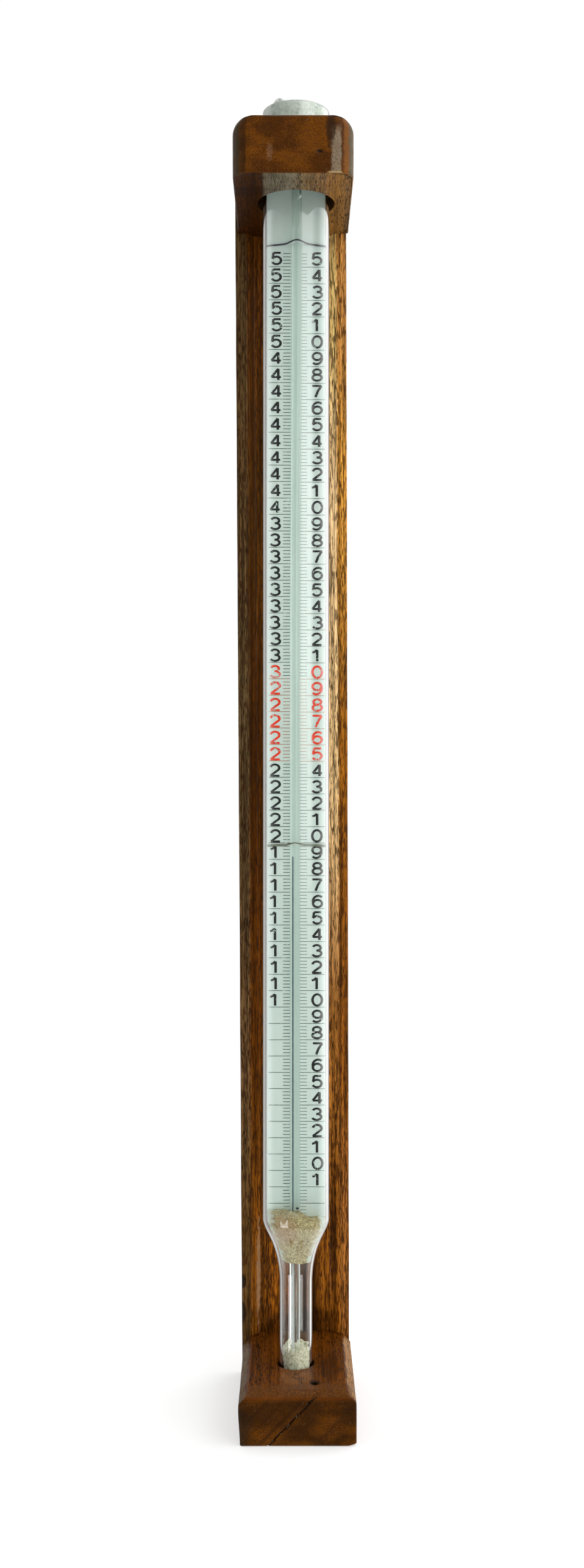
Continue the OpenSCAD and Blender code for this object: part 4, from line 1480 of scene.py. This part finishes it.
def stem_packing():
    """White crumbs in the foot of the stem, heaped unevenly, with loose grains on top and at the wall."""
    inner_r = STEM_R - GLASS_T
    foot_z = STEM_END_Z + STEM_R
    angles = steps(-TAU / 4, 0, 0.12)
    profile = [(inner_r * math.cos(a) * 0.97, foot_z + inner_r * math.sin(a)) for a in angles]
    profile += [(inner_r * 0.97, z) for z in steps(foot_z, 30.5, 0.6)[1:]]
    profile += [(inner_r * s, 31.6 - s) for s in (0.85, 0.65, 0.45, 0.2)] + [(0, 31.4)]

    def push(a, z):
        x, y = turned(1, a)
        bare = math.exp(-(((z - 20) / 4.5) ** 2)) * smoothstep(0.2, 1, -x) * 1.8
        coarse = 0.7 * abs(rough(6 * x, 6 * y, z, 1.8))
        return -0.4 * bare - coarse - 0.5 * abs(rough(6 * x, 6 * y, z, 0.9))

    def drop(a, r, z):
        x, y = turned(r, a)
        high = smoothstep(24, 30, z)
        left_heap = 1.8 * math.exp(-(((x + 3.4) / 1.7) ** 2))
        right_heap = 0.9 * math.exp(-(((x - 2.8) / 1.6) ** 2))
        return high * (left_heap + right_heap + 1.0 * rough(x, y, 2, 2.2) + 0.8 * rough(x, y, 7, 1.1) - 1.2)

    on_top = []
    for k in range(46):
        uneven = 1.3 * rough(3.1 * k, 0.5, 0, 1) + 0.8 * math.cos(GOLDEN_ANGLE * k)
        on_top.append(((inner_r - 1.1) * math.sqrt((k * GOLDEN_SHARE) % 1), 30.2 + uneven))
    at_wall = [(inner_r - 1.2, lerp(21, 31.5, (k * GOLDEN_SHARE) % 1)) for k in range(90)]
    body = lump_mesh(profile, push, 72, drop)
    mesh = joined(body, *loose_crumbs(on_top, 0.45), *loose_crumbs(at_wall, 0.4))
    make("packing_stem", *mesh, WHITE_CRUMBS, "thermometer", "white_packing", ["stem_packing"])


# How far the smear of plaster stands above the plug's crown.
SMEAR_RISE = 0.9


def top_plug():
    """White plug with a low crown and a smear of plaster that stands over the rim."""
    low, high = span("top_plug")
    crown = high.z - RIM_Z - SMEAR_RISE
    wall_r = TUBE_R - GLASS_T - 0.15
    profile = [(wall_r * s, low.z) for s in (0, 0.5, 0.9)]
    profile += [(wall_r, z) for z in steps(low.z + 0.5, RIM_Z - 0.6, 1)]
    profile += [(wall_r * math.sqrt(1 - t * t), RIM_Z - 0.4 + crown * t) for t in steps(0.1, 1, 0.1)]

    def push(a, z):
        x, y = turned(1, a)
        return -0.25 * abs(rough(14 * x, 14 * y, z, 5)) - 0.12 * abs(rough(14 * x, 14 * y, z, 1.6))

    def lift(a, r, z):
        x, y = turned(r, a)
        smear = math.exp(-(((x + 8) / 2.6) ** 2) - (((y + 11) / 3) ** 2))
        return smoothstep(583, 586, z) * (1.9 * smear + 0.5 * rough(x, y, 3, 5) - 0.035 * x)

    lump("plug", profile, push, PLASTER, "white_packing", ["top_plug"], 96, lift)


def keep_cad(node, material):
    """A CAD node that stays visible gets a finished material."""
    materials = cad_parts[node].data.materials
    materials.clear()
    materials.append(material)


def build():
    """Every piece of the object."""
    back_board()
    top_block()
    base_block()
    glass_envelope()
    capillary()
    scale_plate()
    scale_marks()
    mercury_parts()
    binding_wires()
    hanger()
    shoulder_packing()
    stem_packing()
    top_plug()
    keep_cad("top_block_screws", STEEL)
    keep_cad("base_block_screws", STEEL)
    keep_cad("mercury_reservoir", MERCURY)


# ---- studio ----

EYE_Z = 283.5
EYE_AWAY = 666.3
EYE_X = TUBE.x - 1.8
FOCAL_SHARE = 2560 / 2576
SENSOR = 36
FLOOR_R = 420
FRONT_GLOW = 0.2
RIGHT_GLOW = 1.5
LEFT_GLOW = 1.0
BACK_GLOW = 0.3
TOP_GLOW = 0.6
FLOOR_GLOW = 0.9
SHEEN_GLOW = 3.2


def camera():
    """Level camera a little below mid-height and left of the tube's axis."""
    data = bpy.data.cameras.new("camera")
    data.sensor_fit = "VERTICAL"
    data.sensor_height = SENSOR
    data.sensor_width = SENSOR
    data.lens = SENSOR * FOCAL_SHARE
    data.clip_start = 0.01
    data.clip_end = 20
    obj = bpy.data.objects.new("camera", data)
    obj.location = Vector((EYE_X, FRONT_Y - EYE_AWAY, EYE_Z)) * MM
    obj.rotation_euler = (math.radians(90), 0, 0)
    bpy.context.scene.collection.objects.link(obj)
    bpy.context.scene.camera = obj


AIM = Vector((0, 0, 0.28))
# Place and size in metres, power, and whether the glass mirrors the lamp.
LAMPS = {
    "low_left": ((-0.64, -0.68, -0.31), (0.48, 0.20), 1.25, True),
    "front": ((0.25, -0.95, 0.72), (0.9, 0.5), 1.4, False),
    "fill": ((0.1, -0.98, 0.05), (0.7, 0.4), 1.0, False),
}


def softbox(name, place, size, power, mirrored):
    """A flat lamp aimed at the middle of the object."""
    data = bpy.data.lights.new(name, "AREA")
    data.shape = "RECTANGLE"
    data.size, data.size_y = size
    data.energy = power
    obj = bpy.data.objects.new(name, data)
    obj.visible_glossy = mirrored
    obj.visible_transmission = mirrored
    obj.location = place
    obj.rotation_euler = (AIM - Vector(place)).to_track_quat("-Z", "Y").to_euler()
    bpy.context.scene.collection.objects.link(obj)


def studio():
    """White surroundings for the eye. What lights the object is dim in front and bright at the sides."""
    bpy.context.scene.world = bpy.data.worlds.new("studio")
    light = NodeTree(bpy.context.scene.world)
    light.tree.nodes.clear()
    direction = light.node("TexCoord", {}).outputs["Generated"]
    parts = light.node("SeparateXYZ", {0: direction}).outputs
    rays = light.node("LightPath", {}).outputs

    def glow(axis, low, high, amount=1, least=0):
        """Light that grows from the low to the high end of a direction's axis."""
        return light.spread(parts[axis], low, high, least, amount)

    sides = light.plus(glow("X", 0.3, 0.78, RIGHT_GLOW), glow("X", -0.7, -0.95, LEFT_GLOW))
    sides = light.times(sides, glow("Z", -0.36, -0.2, 1, 0.4))
    unmirrored = light.most(rays["Is Diffuse Ray"], glow("Y", -0.2, 0.3))
    behind = light.plus(glow("Y", -0.1, 0.7, BACK_GLOW), glow("Z", 0.4, 0.75, TOP_GLOW))
    total = light.plus(light.times(sides, unmirrored), behind)
    total = light.plus(total, glow("Z", -0.35, -0.8, FLOOR_GLOW))
    sheen = light.times(glow("X", 0.10, 0.45, SHEEN_GLOW), glow("X", 0.95, 0.75))
    sheen = light.times(sheen, glow("Z", -0.18, 0.10))
    sheen = light.times(sheen, light.times(glow("Z", 0.40, 0.18, 1, 0.6), glow("Y", 0.3, -0.2)))
    mirrored = light.node("MapRange", {"Value": rays["Is Diffuse Ray"], "To Min": 1, "To Max": 0})
    total = light.plus(light.plus(total, light.times(sheen, mirrored.outputs[0])), FRONT_GLOW)
    strength = light.node("Mix", {0: rays["Is Camera Ray"], 2: total, 3: 1.0}).outputs[0]
    background = light.node("Background", {"Color": (1, 1, 1, 1), "Strength": strength})
    light.node("OutputWorld", {"Surface": background.outputs[0]})


def floor():
    """A pale round floor that fades into the white surroundings at its rim."""
    verts, faces = lathe([(r, 0) for r in steps(0, FLOOR_R, 40)], Vector((0, 0, 0)), 64)
    obj = mesh_object("floor", verts, faces)
    paper = Recipe("floor_paper", roughness=0.95, emission_strength=0.45)
    paper.set("emission color", (1, 1, 1, 1))
    fibres = paper.even_noise(700, 3)
    greys = [(0.3, (0.60, 0.60, 0.60, 1)), (0.7, (0.64, 0.64, 0.64, 1))]
    paper.set("base color", paper.ramp(fibres, greys))
    paper.let_through(paper.spread(paper.length(paper.place), 0.5 * FLOOR_R * MM, 0.98 * FLOOR_R * MM))
    obj.data.materials.append(paper.material)
    for rays in ("diffuse", "glossy", "transmission", "shadow"):
        setattr(obj, "visible_" + rays, False)


build()
camera()
studio()
floor()
for lamp, settings in LAMPS.items():
    softbox(lamp, *settings)
bpy.context.scene.view_settings.view_transform = "Standard"
